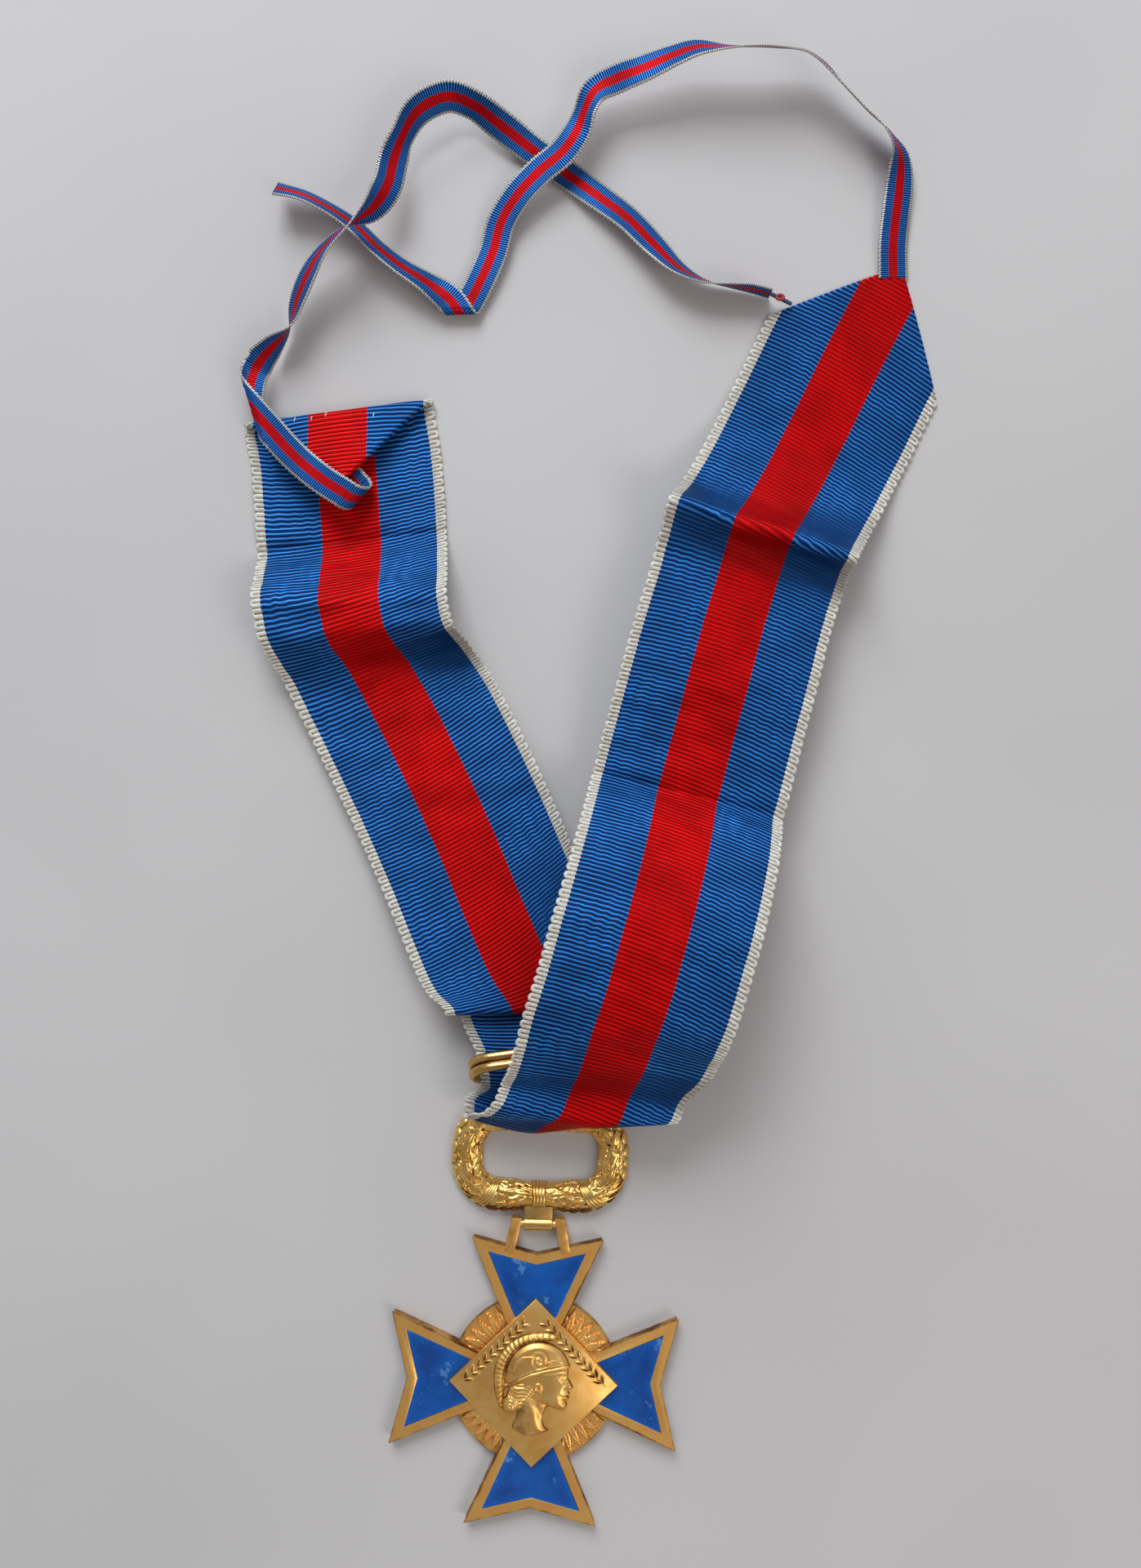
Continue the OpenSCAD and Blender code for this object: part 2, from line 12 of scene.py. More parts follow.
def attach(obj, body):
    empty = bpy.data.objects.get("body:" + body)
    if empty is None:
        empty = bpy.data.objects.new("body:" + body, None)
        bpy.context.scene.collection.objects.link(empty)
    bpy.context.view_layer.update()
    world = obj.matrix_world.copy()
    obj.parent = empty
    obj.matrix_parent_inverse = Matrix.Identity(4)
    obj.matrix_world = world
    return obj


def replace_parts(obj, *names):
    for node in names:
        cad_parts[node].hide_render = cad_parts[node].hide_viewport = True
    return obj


MM = 0.001
TURN = 2 * math.pi
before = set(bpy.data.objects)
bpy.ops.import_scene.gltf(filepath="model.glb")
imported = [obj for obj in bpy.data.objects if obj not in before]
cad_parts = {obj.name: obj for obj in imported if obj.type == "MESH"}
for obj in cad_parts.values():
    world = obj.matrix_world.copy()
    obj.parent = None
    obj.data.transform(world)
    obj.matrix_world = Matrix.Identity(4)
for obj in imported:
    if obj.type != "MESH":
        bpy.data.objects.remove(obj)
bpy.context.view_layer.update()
scene = bpy.context.scene
RIBBON_BODY, CROSS_BODY = "ribbon_and_wreath", "cross"


# Shader nodes

def feed(tree, socket, value):
    """Links a socket's value, or sets it from a plain one. None leaves it as it is."""
    if isinstance(value, bpy.types.NodeSocket):
        tree.links.new(value, socket)
    elif value is not None:
        socket.default_value = value


def node(tree, kind, values=(), **settings):
    """A shader node with its inputs fed: a list by place, or a dict by name."""
    made = tree.nodes.new("ShaderNode" + kind)
    for key, value in settings.items():
        setattr(made, key, value)
    for key, value in values.items() if isinstance(values, dict) else enumerate(values):
        feed(tree, made.inputs[key], value)
    return made


def calc(tree, operation, *values):
    return node(tree, "Math", values, operation=operation).outputs[0]


def plus(tree, a, b):
    return calc(tree, "ADD", a, b)


def times(tree, a, b):
    return calc(tree, "MULTIPLY", a, b)


def about_zero(tree, value, gain):
    """A value from 0 to 1 moved to swing about zero, by so much."""
    return times(tree, calc(tree, "SUBTRACT", value, 0.5), gain)


def spread(tree, value, low, high, to_low=0.0, to_high=1.0, smooth=True):
    """A value taken from one range to another, held at its ends."""
    ends = {"Value": value, "From Min": low, "From Max": high, "To Min": to_low, "To Max": to_high}
    return node(tree, "MapRange", ends, interpolation_type="SMOOTHSTEP" if smooth else "LINEAR").outputs[0]


def mixed(tree, share, a, b, blend="MIX"):
    """Colour mix by a share."""
    made = node(tree, "Mix", {0: share, 6: a, 7: b}, data_type="RGBA", blend_type=blend, clamp_factor=True)
    return made.outputs[2]


def speckle(tree, place, scale, detail=3.0, roughness=0.55, offset=0.0):
    """Soft noise, 0 to 1, at so many blobs to a metre."""
    if offset:
        place = node(tree, "Mapping", {"Vector": place, "Location": (offset, offset * 0.7, 0)}).outputs[0]
    return node(tree, "TexNoise", {"Vector": place, "Scale": scale, "Detail": detail,
                                   "Roughness": roughness}).outputs[0]


def painted(tree, name):
    """A measure noted on the points of a mesh."""
    return node(tree, "Attribute", attribute_name=name).outputs["Fac"]


def object_place(tree):
    return node(tree, "TexCoord").outputs["Object"]


def bumped(tree, height, distance):
    return node(tree, "Bump", {"Strength": 1.0, "Distance": distance, "Height": height}).outputs[0]


def material(name):
    """A fresh material and its tree."""
    made = bpy.data.materials.new(name)
    made.use_nodes = True
    return made, made.node_tree


def finish_off(tree, values):
    """Feeds the sockets of a material's Principled shader by their names."""
    shader = next(n for n in tree.nodes if n.type == "BSDF_PRINCIPLED")
    for key, value in values.items():
        feed(tree, shader.inputs[key], value)


# Meshes and pieces

def placed(name, data):
    made = bpy.data.objects.new(name, data)
    scene.collection.objects.link(made)
    return made


def mesh_of(bm, name):
    mesh = bpy.data.meshes.new(name)
    bm.to_mesh(mesh)
    bm.free()
    return mesh


def piece(name, mesh, body, finish):
    """A finished piece from a mesh in metres, riding on a body, in its finish."""
    made = placed(name, mesh)
    mesh.name = name
    mesh.materials.append(finish)
    mesh.polygons.foreach_set("use_smooth", [True] * len(mesh.polygons))
    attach(made, body)
    return made


def points_of(mesh):
    place = np.empty(len(mesh.vertices) * 3)
    mesh.vertices.foreach_get("co", place)
    return place.reshape(-1, 3)


def set_points(mesh, place):
    """Moves a mesh's points, given in millimetres."""
    mesh.vertices.foreach_set("co", (place * MM).ravel())
    mesh.update()


def map_cloth(mesh, flat):
    """The cloth map of a mesh: where each point lies across and along the flat cloth, in metres."""
    corner = np.empty(len(mesh.loops), int)
    mesh.loops.foreach_get("vertex_index", corner)
    layer = mesh.uv_layers.new(name="cloth")
    layer.data.foreach_set("uv", (flat[:, :2] * MM)[corner].ravel())


def about(axis, degrees):
    return Matrix.Rotation(math.radians(degrees), 3, axis)


def kind_of(geometry, kind):
    return [g for g in geometry if isinstance(g, kind)]


def each_once(things):
    return list(dict.fromkeys(things))


def verts_of(faces):
    return each_once(v for f in faces for v in f.verts)


# Camera, table and light

PAGE_MIDDLE = Vector((0, 0.12, 0))


def make_camera():
    """Straight above the page, 270 mm up, turned 1.65 degrees, the whole 1397 x 1920 frame."""
    lens = bpy.data.cameras.new("page_camera")
    lens.sensor_width, lens.lens = 36, 29.59
    lens.clip_start, lens.clip_end = 0.01, 20
    camera = placed("page_camera", lens)
    camera.location = (0.00407, 0.1242, 0.270)
    camera.rotation_euler = (0, 0, math.radians(1.65))
    scene.camera = camera


def make_table():
    bm = bmesh.new()
    bmesh.ops.create_grid(bm, x_segments=1, y_segments=1, size=3)
    bmesh.ops.translate(bm, verts=bm.verts, vec=PAGE_MIDDLE - Vector((0, 0, 0.0001)))
    mesh = mesh_of(bm, "table_top")
    paper, tree = material("pale_table")
    tone = spread(tree, speckle(tree, object_place(tree), 9, 2), 0.3, 0.7)
    finish_off(tree, {"Roughness": 0.85,
                      "Base Color": mixed(tree, tone, (0.565, 0.55, 0.55, 1), (0.60, 0.585, 0.585, 1))})
    mesh.materials.append(paper)
    placed("table_top", mesh)


def make_light():
    """A bright side of the room beyond the top of the page, a window there and a weak warm lamp opposite."""
    world = bpy.data.worlds.new("room")
    world.use_nodes = True
    tree = world.node_tree
    way = node(tree, "TexCoord").outputs["Generated"]
    toward = node(tree, "VectorMath", [way, (0.0, 0.83, 0.56)], operation="DOT_PRODUCT").outputs["Value"]
    height = node(tree, "SeparateXYZ", [way]).outputs[2]
    room = mixed(tree, spread(tree, height, 0.75, 0.97), (0.62, 0.60, 0.60, 1), (0.30, 0.27, 0.25, 1))
    sky = mixed(tree, spread(tree, toward, 0.55, 0.92), room, (1.10, 1.20, 1.36, 1))
    backdrop = tree.nodes["Background"].inputs
    feed(tree, backdrop[0], sky)
    feed(tree, backdrop[1], 0.54)
    scene.world = world
    for name, place, size, power, colour in (("window", (-0.22, 0.90, 0.62), 0.55, 7.4, (0.93, 0.97, 1.0)),
                                             ("lamp", (0.62, -0.35, 0.75), 0.5, 2.4, (1.0, 0.90, 0.80))):
        lamp = bpy.data.lights.new(name, "AREA")
        lamp.size, lamp.energy, lamp.color = size, power, colour
        holder = placed(name, lamp)
        holder.location = place
        holder.rotation_euler = (PAGE_MIDDLE - Vector(place)).to_track_quat("-Z", "Y").to_euler()
    scene.view_settings.view_transform = "Standard"


# Cloth that lies along a route

def level_slopes(rows, gaps):
    """Slopes at the rows for a smooth run that never overshoots them."""
    runs = np.diff(rows, axis=0) / gaps[:, None]
    slopes = np.empty_like(rows)
    slopes[0], slopes[-1] = runs[0], runs[-1]
    a, b, before, after = runs[:-1], runs[1:], gaps[:-1, None], gaps[1:, None]
    middle = (b * before + a * after) / (before + after)
    held = np.sign(middle) * np.minimum(np.abs(middle), 3 * np.minimum(np.abs(a), np.abs(b)))
    slopes[1:-1] = np.where(a * b <= 0, 0, held)
    return slopes


def smooth_run(rows, step=0.15):
    """Cuts the way through the rows of a table into short steps."""
    rows = np.array(rows, float)
    gaps = np.linalg.norm(np.diff(rows[:, :3], axis=0), axis=1)
    slopes = level_slopes(rows, gaps)
    parts = []
    for i, gap in enumerate(gaps):
        cuts = max(2, round(gap / step))
        t = (np.arange(cuts) / cuts)[:, None]
        parts.append((2 * t**3 - 3 * t**2 + 1) * rows[i] + (t**3 - 2 * t**2 + t) * gap * slopes[i]
                     + (3 * t**2 - 2 * t**3) * rows[i + 1] + (t**3 - t**2) * gap * slopes[i + 1])
    return np.concatenate([*parts, rows[-1:]])


def unit_rows(v):
    return v / np.linalg.norm(v, axis=1)[:, None]


def lengths_along(line):
    """Length from the start of a line to each of its points."""
    return np.concatenate([[0], np.cumsum(np.linalg.norm(np.diff(line, axis=0), axis=1))])


class Route:
    """Centre line of a laid band with its cross direction and its upper side at every length s."""

    def __init__(self, cuts, across, turned=False):
        self.centre = cuts[:, :3]
        heading = unit_rows(np.gradient(self.centre, axis=0))
        self.across = across(cuts, heading) * (-1 if turned else 1)
        self.up = unit_rows(np.cross(heading, self.across))
        self.s = lengths_along(self.centre)
        self.length = self.s[-1]

    def at(self, values, s):
        return np.stack([np.interp(s, self.s, values[:, k]) for k in range(3)], 1)

    def middle(self, s):
        return self.at(self.centre, s)

    def lay(self, s, u, w):
        return self.middle(s) + self.at(self.across, s) * u[:, None] + self.at(self.up, s) * w[:, None]


def cloth_slab(width, start, end, columns, row_step):
    """Flat slab of cloth in its own measure: x across, y along, z through it from -1 to 1."""
    rows = int(round((end - start) / row_step))
    bm = bmesh.new()
    bmesh.ops.create_grid(bm, x_segments=columns, y_segments=rows, size=0.5)
    bmesh.ops.scale(bm, verts=bm.verts, vec=(width, rows * row_step, 1))
    bmesh.ops.translate(bm, verts=bm.verts, vec=(0, start + rows * row_step / 2, -1))
    raised = bmesh.ops.extrude_face_region(bm, geom=bm.faces[:], use_keep_orig=True)["geom"]
    bmesh.ops.translate(bm, verts=kind_of(raised, bmesh.types.BMVert), vec=(0, 0, 2))
    bmesh.ops.recalc_face_normals(bm, faces=bm.faces)
    return bm


def rib_profile(turns):
    """Height of a rib, -1 in the groove to 1 on its round top, by turns along the cloth."""
    return np.cos(TURN * turns) + 0.22 * (1 - np.cos(2 * TURN * turns))


# Neck ribbon

RIB_PITCH, RIB_HEIGHT, RIBBON_HALF = 0.88, 0.05, 0.21
RED_EDGE, BLUE_EDGE, OUTER_EDGE = 6.15, 17.85, 20.1

# Its route: x, y, z of its centre line, turn and roll of its cross line in degrees, skew of its ribs
RIBBON_ROWS = [
    [-45.9, 180.0, 5.0, 9, 0, 0], [-46.0, 185.0, 4.4, 9, 0, 0], [-46.1, 190.5, 3.7, 9, 0, 0],
    [-46.2, 195.3, 3.2, 9, 0, 0], [-46.3, 199.0, 2.8, 9, 0, 0], [-46.4, 200.3, 1.6, 9, 0, 0],
    [-46.4, 199.1, 0.4, 9, 0, 0], [-45.1, 192.1, 0.4, 6, 0, 0], [-43.9, 182.4, 0.6, 6, 0, -0.04],
    [-43.1, 173.6, 0.6, 8, 0, -0.08], [-42.3, 166.4, 5.8, 6, 0, -0.14], [-41.5, 159.3, 11.0, 4, 3, -0.23],
    [-40.5, 154.7, 11.0, 6, 4, -0.24], [-35.8, 146.7, 3.5, 12, -1, -0.21], [-30.7, 137.9, 2.9, 20, 0, -0.19],
    [-23.6, 124.7, 3.4, 23, 1, -0.15], [-16.9, 111.1, 4.1, 24, 2, -0.12], [-10.3, 96.9, 6.4, 24, 3, -0.21],
    [-4.7, 85.6, 8.1, 14, 2, -0.33], [-0.2, 78.2, 8.4, 3, 0, -0.32], [0.0, 77.5, 7.5, 3, 0, -0.31],
    [0.1, 78.2, 6.7, 3, 0, -0.3], [1.3, 81.4, 6.5, -2, 0, -0.23], [1.3, 82.1, 5.9, -2, 0, -0.2],
    [1.4, 81.4, 5.2, -2, 0, -0.18], [2.9, 76.6, 5.3, 3, 0, -0.08], [6.6, 68.7, 5.5, 6, 0, 0],
    [6.8, 67.0, 5.5, 7, 0, -0.01], [7.2, 62.9, 5.4, 5, 0, -0.02], [5.0, 59.2, 5.2, 2, 0, -0.03],
    [4.1, 56.9, 5.0, 0, 0, -0.05], [4.1, 53.7, 6.3, 0, 0, -0.1], [6.3, 54.8, 9.3, -3, 0, -0.24],
    [10.3, 57.8, 13.4, -8, 0, -0.24], [11.6, 61.6, 13.3, -6, 0, -0.19], [13.3, 66.9, 17.3, -3, -1, -0.19],
    [14.6, 71.5, 19.9, -4, -1, -0.18], [15.9, 76.6, 23.0, -9, -1, -0.17], [17.8, 83.0, 25.0, -11, 0, -0.17],
    [21.0, 95.8, 25.5, -10, 1, -0.17], [22.6, 101.8, 23.7, -10, 3, -0.18], [25.9, 114.6, 16.4, -10, 4, -0.18],
    [27.0, 119.0, 11.8, -11, 5, -0.16], [28.0, 122.9, 7.9, -12, 4, -0.15], [31.2, 136.6, 8.4, -8, 1, -0.17],
    [33.7, 147.4, 9.4, -6, -1, -0.2], [36.2, 157.6, 8.9, -5, -3, -0.21], [39.2, 168.1, 7.4, -8, -4, -0.19],
    [40.4, 173.1, 9.4, -12, -4, -0.18], [41.1, 176.1, 12.5, -16, -1, -0.18], [44.2, 181.3, 6.8, -16, 0, -0.21],
    [47.4, 187.0, 4.0, -16, 0, -0.23], [50.9, 193.9, 1.4, -18, 0, -0.18], [54.9, 202.3, 0.6, -22, 0, -0.12],
    [59.6, 212.7, 0.4, -25, 0, -0.06], [66.7, 227.3, 0.4, -27, 0, 0], [72.0, 237.6, 0.4, -27, 0, 0],
]


def ribbon_across(cuts, heading):
    turn, roll = np.radians(cuts[:, 3]), np.radians(cuts[:, 4])
    return np.stack([np.cos(turn) * np.cos(roll), np.sin(turn) * np.cos(roll), np.sin(roll)], 1)


RIBBON_CUTS = smooth_run(RIBBON_ROWS)
ribbon_route = Route(RIBBON_CUTS, ribbon_across)
RIBBON_END = ribbon_route.length
BOTTOM = ribbon_route.s[np.argmin(ribbon_route.centre[:, 1])]
# Fold lines of the two pointed ends, each as two points across and along the cloth and the side, across and
# along, that is turned under to the hidden face
POINT_FOLDS = [
    ((18.4, 21.1), (1.7, 5.5), (1, -1)), ((-18.6, 21.1), (0.4, 5.2), (-1, -1)), ((-4, 5.4), (4, 5.4), (0, -1)),
    ((-18.0, RIBBON_END - 24.2), (-2.5, RIBBON_END - 7.4), (-1, 1)),
    ((18.2, RIBBON_END - 23.0), (0.6, RIBBON_END - 5.6), (1, 1)),
    ((-2.5, RIBBON_END - 7.2), (0.7, RIBBON_END - 5.8), (0, 1)),
]
RIB_BOW = 0.00375  # how far a rib bows along the cloth, for each square millimetre of its place across
MEAN_SQUARE = 133  # of the places across the ribbon
POINT_REACH = 32
HEM = 4.2
FOLD_RADIUS = 0.42


def fold_lines():
    """Each fold as a point on its line and the outward normal, across and along the cloth."""
    found = []
    for (u0, m0), (u1, m1), far in POINT_FOLDS:
        line = np.array([u1 - u0, m1 - m0], float)
        normal = np.array([line[1], -line[0]]) / np.linalg.norm(line)
        if np.dot(normal, far) < 0:
            normal = -normal
        found.append((np.array([u0, m0], float), normal))
    return found


FOLDS = fold_lines()


def fold_under(flat):
    """Turns under what lies beyond the fold lines. flat holds across, along and through the cloth; the face that
    shows at both ends is the one with negative third measure."""
    flat = flat.copy()
    for origin, normal in FOLDS:
        beyond = (flat[:, :2] - origin) @ normal
        held = (np.abs(flat[:, 1] - origin[1]) < POINT_REACH) & (beyond > 0)
        d, w = beyond[held], -flat[held, 2]
        angle = np.minimum(d / FOLD_RADIUS, math.pi)
        run = np.sin(angle) * (FOLD_RADIUS + w) - np.maximum(d - math.pi * FOLD_RADIUS, 0)
        height = np.cos(angle) * (FOLD_RADIUS + w) - FOLD_RADIUS
        flat[held, :2] += (run - d)[:, None] * normal
        flat[held, 2] = -height
    return flat


def length_at(y, after):
    """Length along the route where its centre line first comes up past a y of the page."""
    return ribbon_route.s[np.argmax((ribbon_route.s > after) & (ribbon_route.centre[:, 1] >= y))]


# Creases pressed into the cloth: length, height (below zero for a valley) and width of each
CREASES = [(48.4, -0.55, 0.8), (66.8, 0.3, 1.0), (length_at(122.9, 230), -0.6, 0.8),
           (length_at(176.1, 300), 0.5, 0.9)]
# Facets beside the folds that face away from the light, given painted shade: darker, even colour and flatter ribs.
# Columns:
# left and right side, start and end of the stretch on the left and on the right, how strong the painted shade is on the
# left and right, softness of start and end
SHADED_FACETS = [
    (-7, 20, 80, 85, 73.5, 89, 0.15, 1.0, 1.2, 3.0), (-12, 20, 217, 224, 213.6, 222.5, 0.15, 1.0, 1.0, 2.0),
    (3, 19, 200, 208, 200, 209, 0.5, 0.8, 1.0, 1.0), (-19, -2, 196, 203, 196, 208.5, 0.9, 0.9, 1.0, 1.0),
    (-20, 20, 344.6, 353, 344.9, 357, 0.85, 0.75, 0.8, 5.0), (-20, 20, 337.0, 342.4, 330.5, 342.2, 0.55, 1.0, 3.5, 0.8),
]


def along_route(u, m):
    """Length along the route of a place on the cloth, whose ribs run askew and bow a little."""
    return m + np.interp(m, ribbon_route.s, RIBBON_CUTS[:, 5]) * u - RIB_BOW * (u * u - MEAN_SQUARE)


def note_painted_shade(mesh, flat):
    """Notes how much painted shade the cloth takes at each point, from 0 to 1: the shaded facets, and a painted shadow
    of the other leg on the leg under it.
    """
    u, m = flat[:, 0], flat[:, 1]
    s = along_route(u, m)
    painted_shade = np.zeros(len(u))
    for left, right, a0, a1, b0, b1, on_left, on_right, soft0, soft1 in SHADED_FACETS:
        t = np.clip((u - left) / (right - left), 0, 1)
        start, end = a0 + (b0 - a0) * t, a1 + (b1 - a1) * t
        here = np.clip((s - start) / soft0 + 0.5, 0, 1) * np.clip((end - s) / soft1 + 0.5, 0, 1)
        here *= np.clip(np.minimum(u - left, right - u) / 1.5 + 1, 0, 1) * (on_left + (on_right - on_left) * t)
        painted_shade = np.maximum(painted_shade, here)
    # Painted shadow of the right leg's edge over the left leg beneath it
    beside = np.interp(s, [124, 133, 147, 157, 162], [28, 20, 6, 0, -3]) - u
    shade = (s > 118) * (s < 164) * 0.6 * np.exp(-np.abs(beside) / 4.5)
    layer = mesh.attributes.new(name="painted_shade", type="FLOAT", domain="POINT")
    layer.data.foreach_set("value", np.maximum(painted_shade, shade))


def eased(t):
    t = np.clip(t, 0, 1)
    return t * t * (3 - 2 * t)


def cloth_waves(s, u):
    """Small soft waves of the laid cloth, in millimetres."""
    return (0.16 * np.sin(s * 0.31 + u * 0.11) * np.sin(u * 0.17 + 1.1) + 0.10 * np.sin(s * 0.73 - u * 0.23 + 2.0)
            + 0.07 * np.sin(s * 1.37 + u * 0.41))


def lay_ribbon(flat):
    """Takes points across, along and through the flat ribbon to the page."""
    u, m, w = fold_under(flat).T
    s = along_route(u, m)
    free = np.interp(s, [20, 34, 60, 118, 134, 208, 222, 350, 366], [0.2, 1, 1, 1, 0, 0, 1, 1, 0.3])
    lift = free * cloth_waves(s, u)
    for where, height, width in CREASES:
        lift += height * np.exp(-np.abs(s - where) / width)
    toward = -np.sign(ribbon_route.at(ribbon_route.up, s)[:, 2] + 1e-9)
    laid = ribbon_route.lay(s, u, w - toward * lift)
    # The fold round the ring and the wreath isn't straight: its line and what comes after it are drawn up the page
    near = np.exp(-((s - BOTTOM) / np.where(s < BOTTOM, 9.0, 5.0)) ** 4)
    for shift in (-2.4, -1.2, 0, 1.2, 2.4):
        laid[:, 1] += near / 5 * np.interp(u + shift, [-20, -13, -6.5, -3, 0, 8, 14, 20],
                                           [1.9, 0.1, -1.1, -0.7, 0, 1.3, 2.9, 4.5])
        laid[:, 0] += near / 5 * np.interp(u + shift, [0, 6, 20], [0, 2.2, 1.8])
    after = s > BOTTOM - 1
    laid[:, 1] += after * eased((214 - s) / 7) * np.interp(u, [3, 8, 14, 20], [0, 0.8, 1.9, 3.3])
    laid[:, 0] += after * eased((224 - s) / 10) * np.interp(u, [3, 20], [0, -3.0])
    laid[:, 2] = np.maximum(laid[:, 2], 0.02)
    return laid


def cut_along(bm, origin, normal, depth, trim=False):
    """Cuts the flat cloth near a pointed end along a line at a depth beyond a fold, and trims what lies past it."""
    near = [f for f in bm.faces if abs(f.calc_center_median().y - origin[1]) < POINT_REACH]
    parts = verts_of(near) + each_once(e for f in near for e in f.edges) + near
    bmesh.ops.bisect_plane(bm, geom=parts, plane_co=(*(origin + normal * depth), 0), plane_no=(*normal, 0),
                           dist=1e-4, clear_outer=trim)


def make_neck_ribbon(cloth):
    spare = 2 * RIB_PITCH
    bm = cloth_slab(2 * (OUTER_EDGE - 0.6), -spare, RIBBON_END + spare, 24, RIB_PITCH / 4)
    for origin, normal in FOLDS:
        for share in (0, 0.25, 0.5, 0.75, 1.0):
            cut_along(bm, origin, normal, share * math.pi * FOLD_RADIUS)
        cut_along(bm, origin, normal, HEM, trim=True)
    bmesh.ops.holes_fill(bm, edges=[e for e in bm.edges if e.is_boundary], sides=0)
    mesh = mesh_of(bm, "neck_ribbon")
    flat = points_of(mesh)
    map_cloth(mesh, flat)
    note_painted_shade(mesh, flat)
    # Thinner and less ribbed along the white edges
    edge = np.clip((np.abs(flat[:, 0]) - 17.6) / 0.4, 0, 1)
    rib = RIB_HEIGHT * (1 - 0.6 * edge) * rib_profile(flat[:, 1] / RIB_PITCH)
    flat[:, 2] *= RIBBON_HALF * (1 - 0.45 * edge) + rib
    set_points(mesh, lay_ribbon(flat))
    return piece("neck_ribbon_cloth", mesh, RIBBON_BODY, cloth)


def edge_bulge(name):
    """One bulge of the looped edge on the right side: out along a rib and back along the next."""
    inner, outer, wire = BLUE_EDGE - 0.1, OUTER_EDGE - 0.38, 0.41
    # Place across and along, size and turn of the wire's cuts
    path = [(inner, 0, 0.45, 0), (inner + 0.2, 0, 1, 0), (outer - 0.34, 0, 1, 20), (outer - 0.08, 0.13, 0.95, 58),
            (outer, 0.44, 0.9, 90), (outer - 0.08, 0.75, 0.95, 122), (outer - 0.34, 0.88, 1, 160),
            (inner + 0.2, 0.88, 1, 180), (inner, 0.88, 0.45, 180)]
    bm = bmesh.new()
    ring = bmesh.ops.create_circle(bm, segments=8, radius=wire)["verts"]
    bmesh.ops.rotate(bm, verts=ring, matrix=about("Y", 90))
    edges, shape = bm.edges[:], [v.co.copy() for v in ring]
    for k, (x, y, size, turn) in enumerate(path):
        if k:
            grown = bmesh.ops.extrude_edge_only(bm, edges=edges)["geom"]
            edges, found = kind_of(grown, bmesh.types.BMEdge), kind_of(grown, bmesh.types.BMVert)
            ring = [min(found, key=lambda v, w=w: (v.co - w.co).length) for w in ring]
        for v, flat in zip(ring, shape):
            spot = about("Z", turn) @ (flat * size)
            v.co = (x + spot.x, y + spot.y, spot.z * 0.7 - 0.1 * (1 - size))
    bmesh.ops.recalc_face_normals(bm, faces=bm.faces)
    return mesh_of(bm, name)


def make_ribbon_edge(name, side, thread):
    """White looped edge: close white rolls side by side, two and two joined by a round bulge at the outside."""
    one = edge_bulge(name + "_one")
    flat = points_of(one)
    count, pitch = int((RIBBON_END - 2) / (2 * RIB_PITCH)), 2 * RIB_PITCH
    joined = bmesh.new()
    for _ in range(count):
        joined.from_mesh(one)
    mesh = mesh_of(joined, name)
    offsets = np.repeat(np.arange(count) * pitch + (0 if side > 0 else RIB_PITCH), len(flat))
    flat = np.tile(flat, (count, 1))
    flat[:, 0] *= side
    flat[:, 1] += offsets
    map_cloth(mesh, flat)
    note_painted_shade(mesh, flat)
    if side < 0:
        mesh.flip_normals()
    set_points(mesh, lay_ribbon(flat))
    return piece(name, mesh, RIBBON_BODY, thread)


# Tie ribbons

TIE_WIDTH, TIE_HALF, TIE_RIB, TIE_RIB_HEIGHT, TIE_SCALLOP = 6.1, 0.16, 0.44, 0.04, 0.09
# Routes of the ties: x, y, z of the centre line and the lean of the left side upwards in degrees
TIE_LEFT_START = [[-45.8, 186.1, 2.6, 0], [-42.8, 182.7, 2.4, 0], [-40.8, 180.4, 2.3, 0], [-38.8, 178.15, 2.3, 0]]
TIE_LEFT_OVER = [
    [-38.2, 178.8, 6.3, 0], [-40.8, 180.4, 6.4, 0], [-43.4, 182.0, 6.5, 0], [-48.7, 185.2, 6.5, 0],
    [-54.7, 190.0, 5.8, 0], [-60.1, 195.6, 6.2, 0], [-64.6, 200.3, 6.3, 0], [-69.1, 205.0, 6.3, 0],
]
TIE_LEFT_UNDER = [
    [-65.5, 193.9, 4.35, 0], [-64.6, 200.3, 4.35, 0], [-63.7, 206.7, 4.3, 0], [-62.4, 209.6, 4.2, 35],
    [-59.9, 212.8, 4.2, 66], [-56.3, 216.9, 4.6, 111], [-54.9, 221.6, 5.4, 135], [-52.8, 226.3, 6.6, 142],
    [-49.1, 231.4, 8.6, 130], [-44.1, 235.7, 9.8, 113], [-39.4, 239.8, 9.0, 60], [-36.7, 245.1, 7.6, 20],
    [-35.7, 250.6, 6.8, 25], [-34.1, 255.6, 6.8, 55], [-31.6, 260.2, 6.8, 45], [-28.0, 263.0, 6.6, 38],
    [-24.3, 264.3, 6.0, 38], [-19.8, 263.2, 5.0, 45], [-14.8, 260.4, 3.4, 25], [-8.0, 256.3, 1.4, 4],
    [-1.1, 252.0, 0.6, 0], [5.9, 247.0, 1.4, -10], [12.8, 241.7, 2.4, -18], [18.0, 236.5, 3.0, -25],
    [23.2, 231.6, 3.5, -45], [28.3, 229.1, 3.5, -62], [34.2, 228.3, 3.4, -76], [38.2, 227.9, 3.3, -84],
    [42.6, 226.9, 3.2, -86],
]
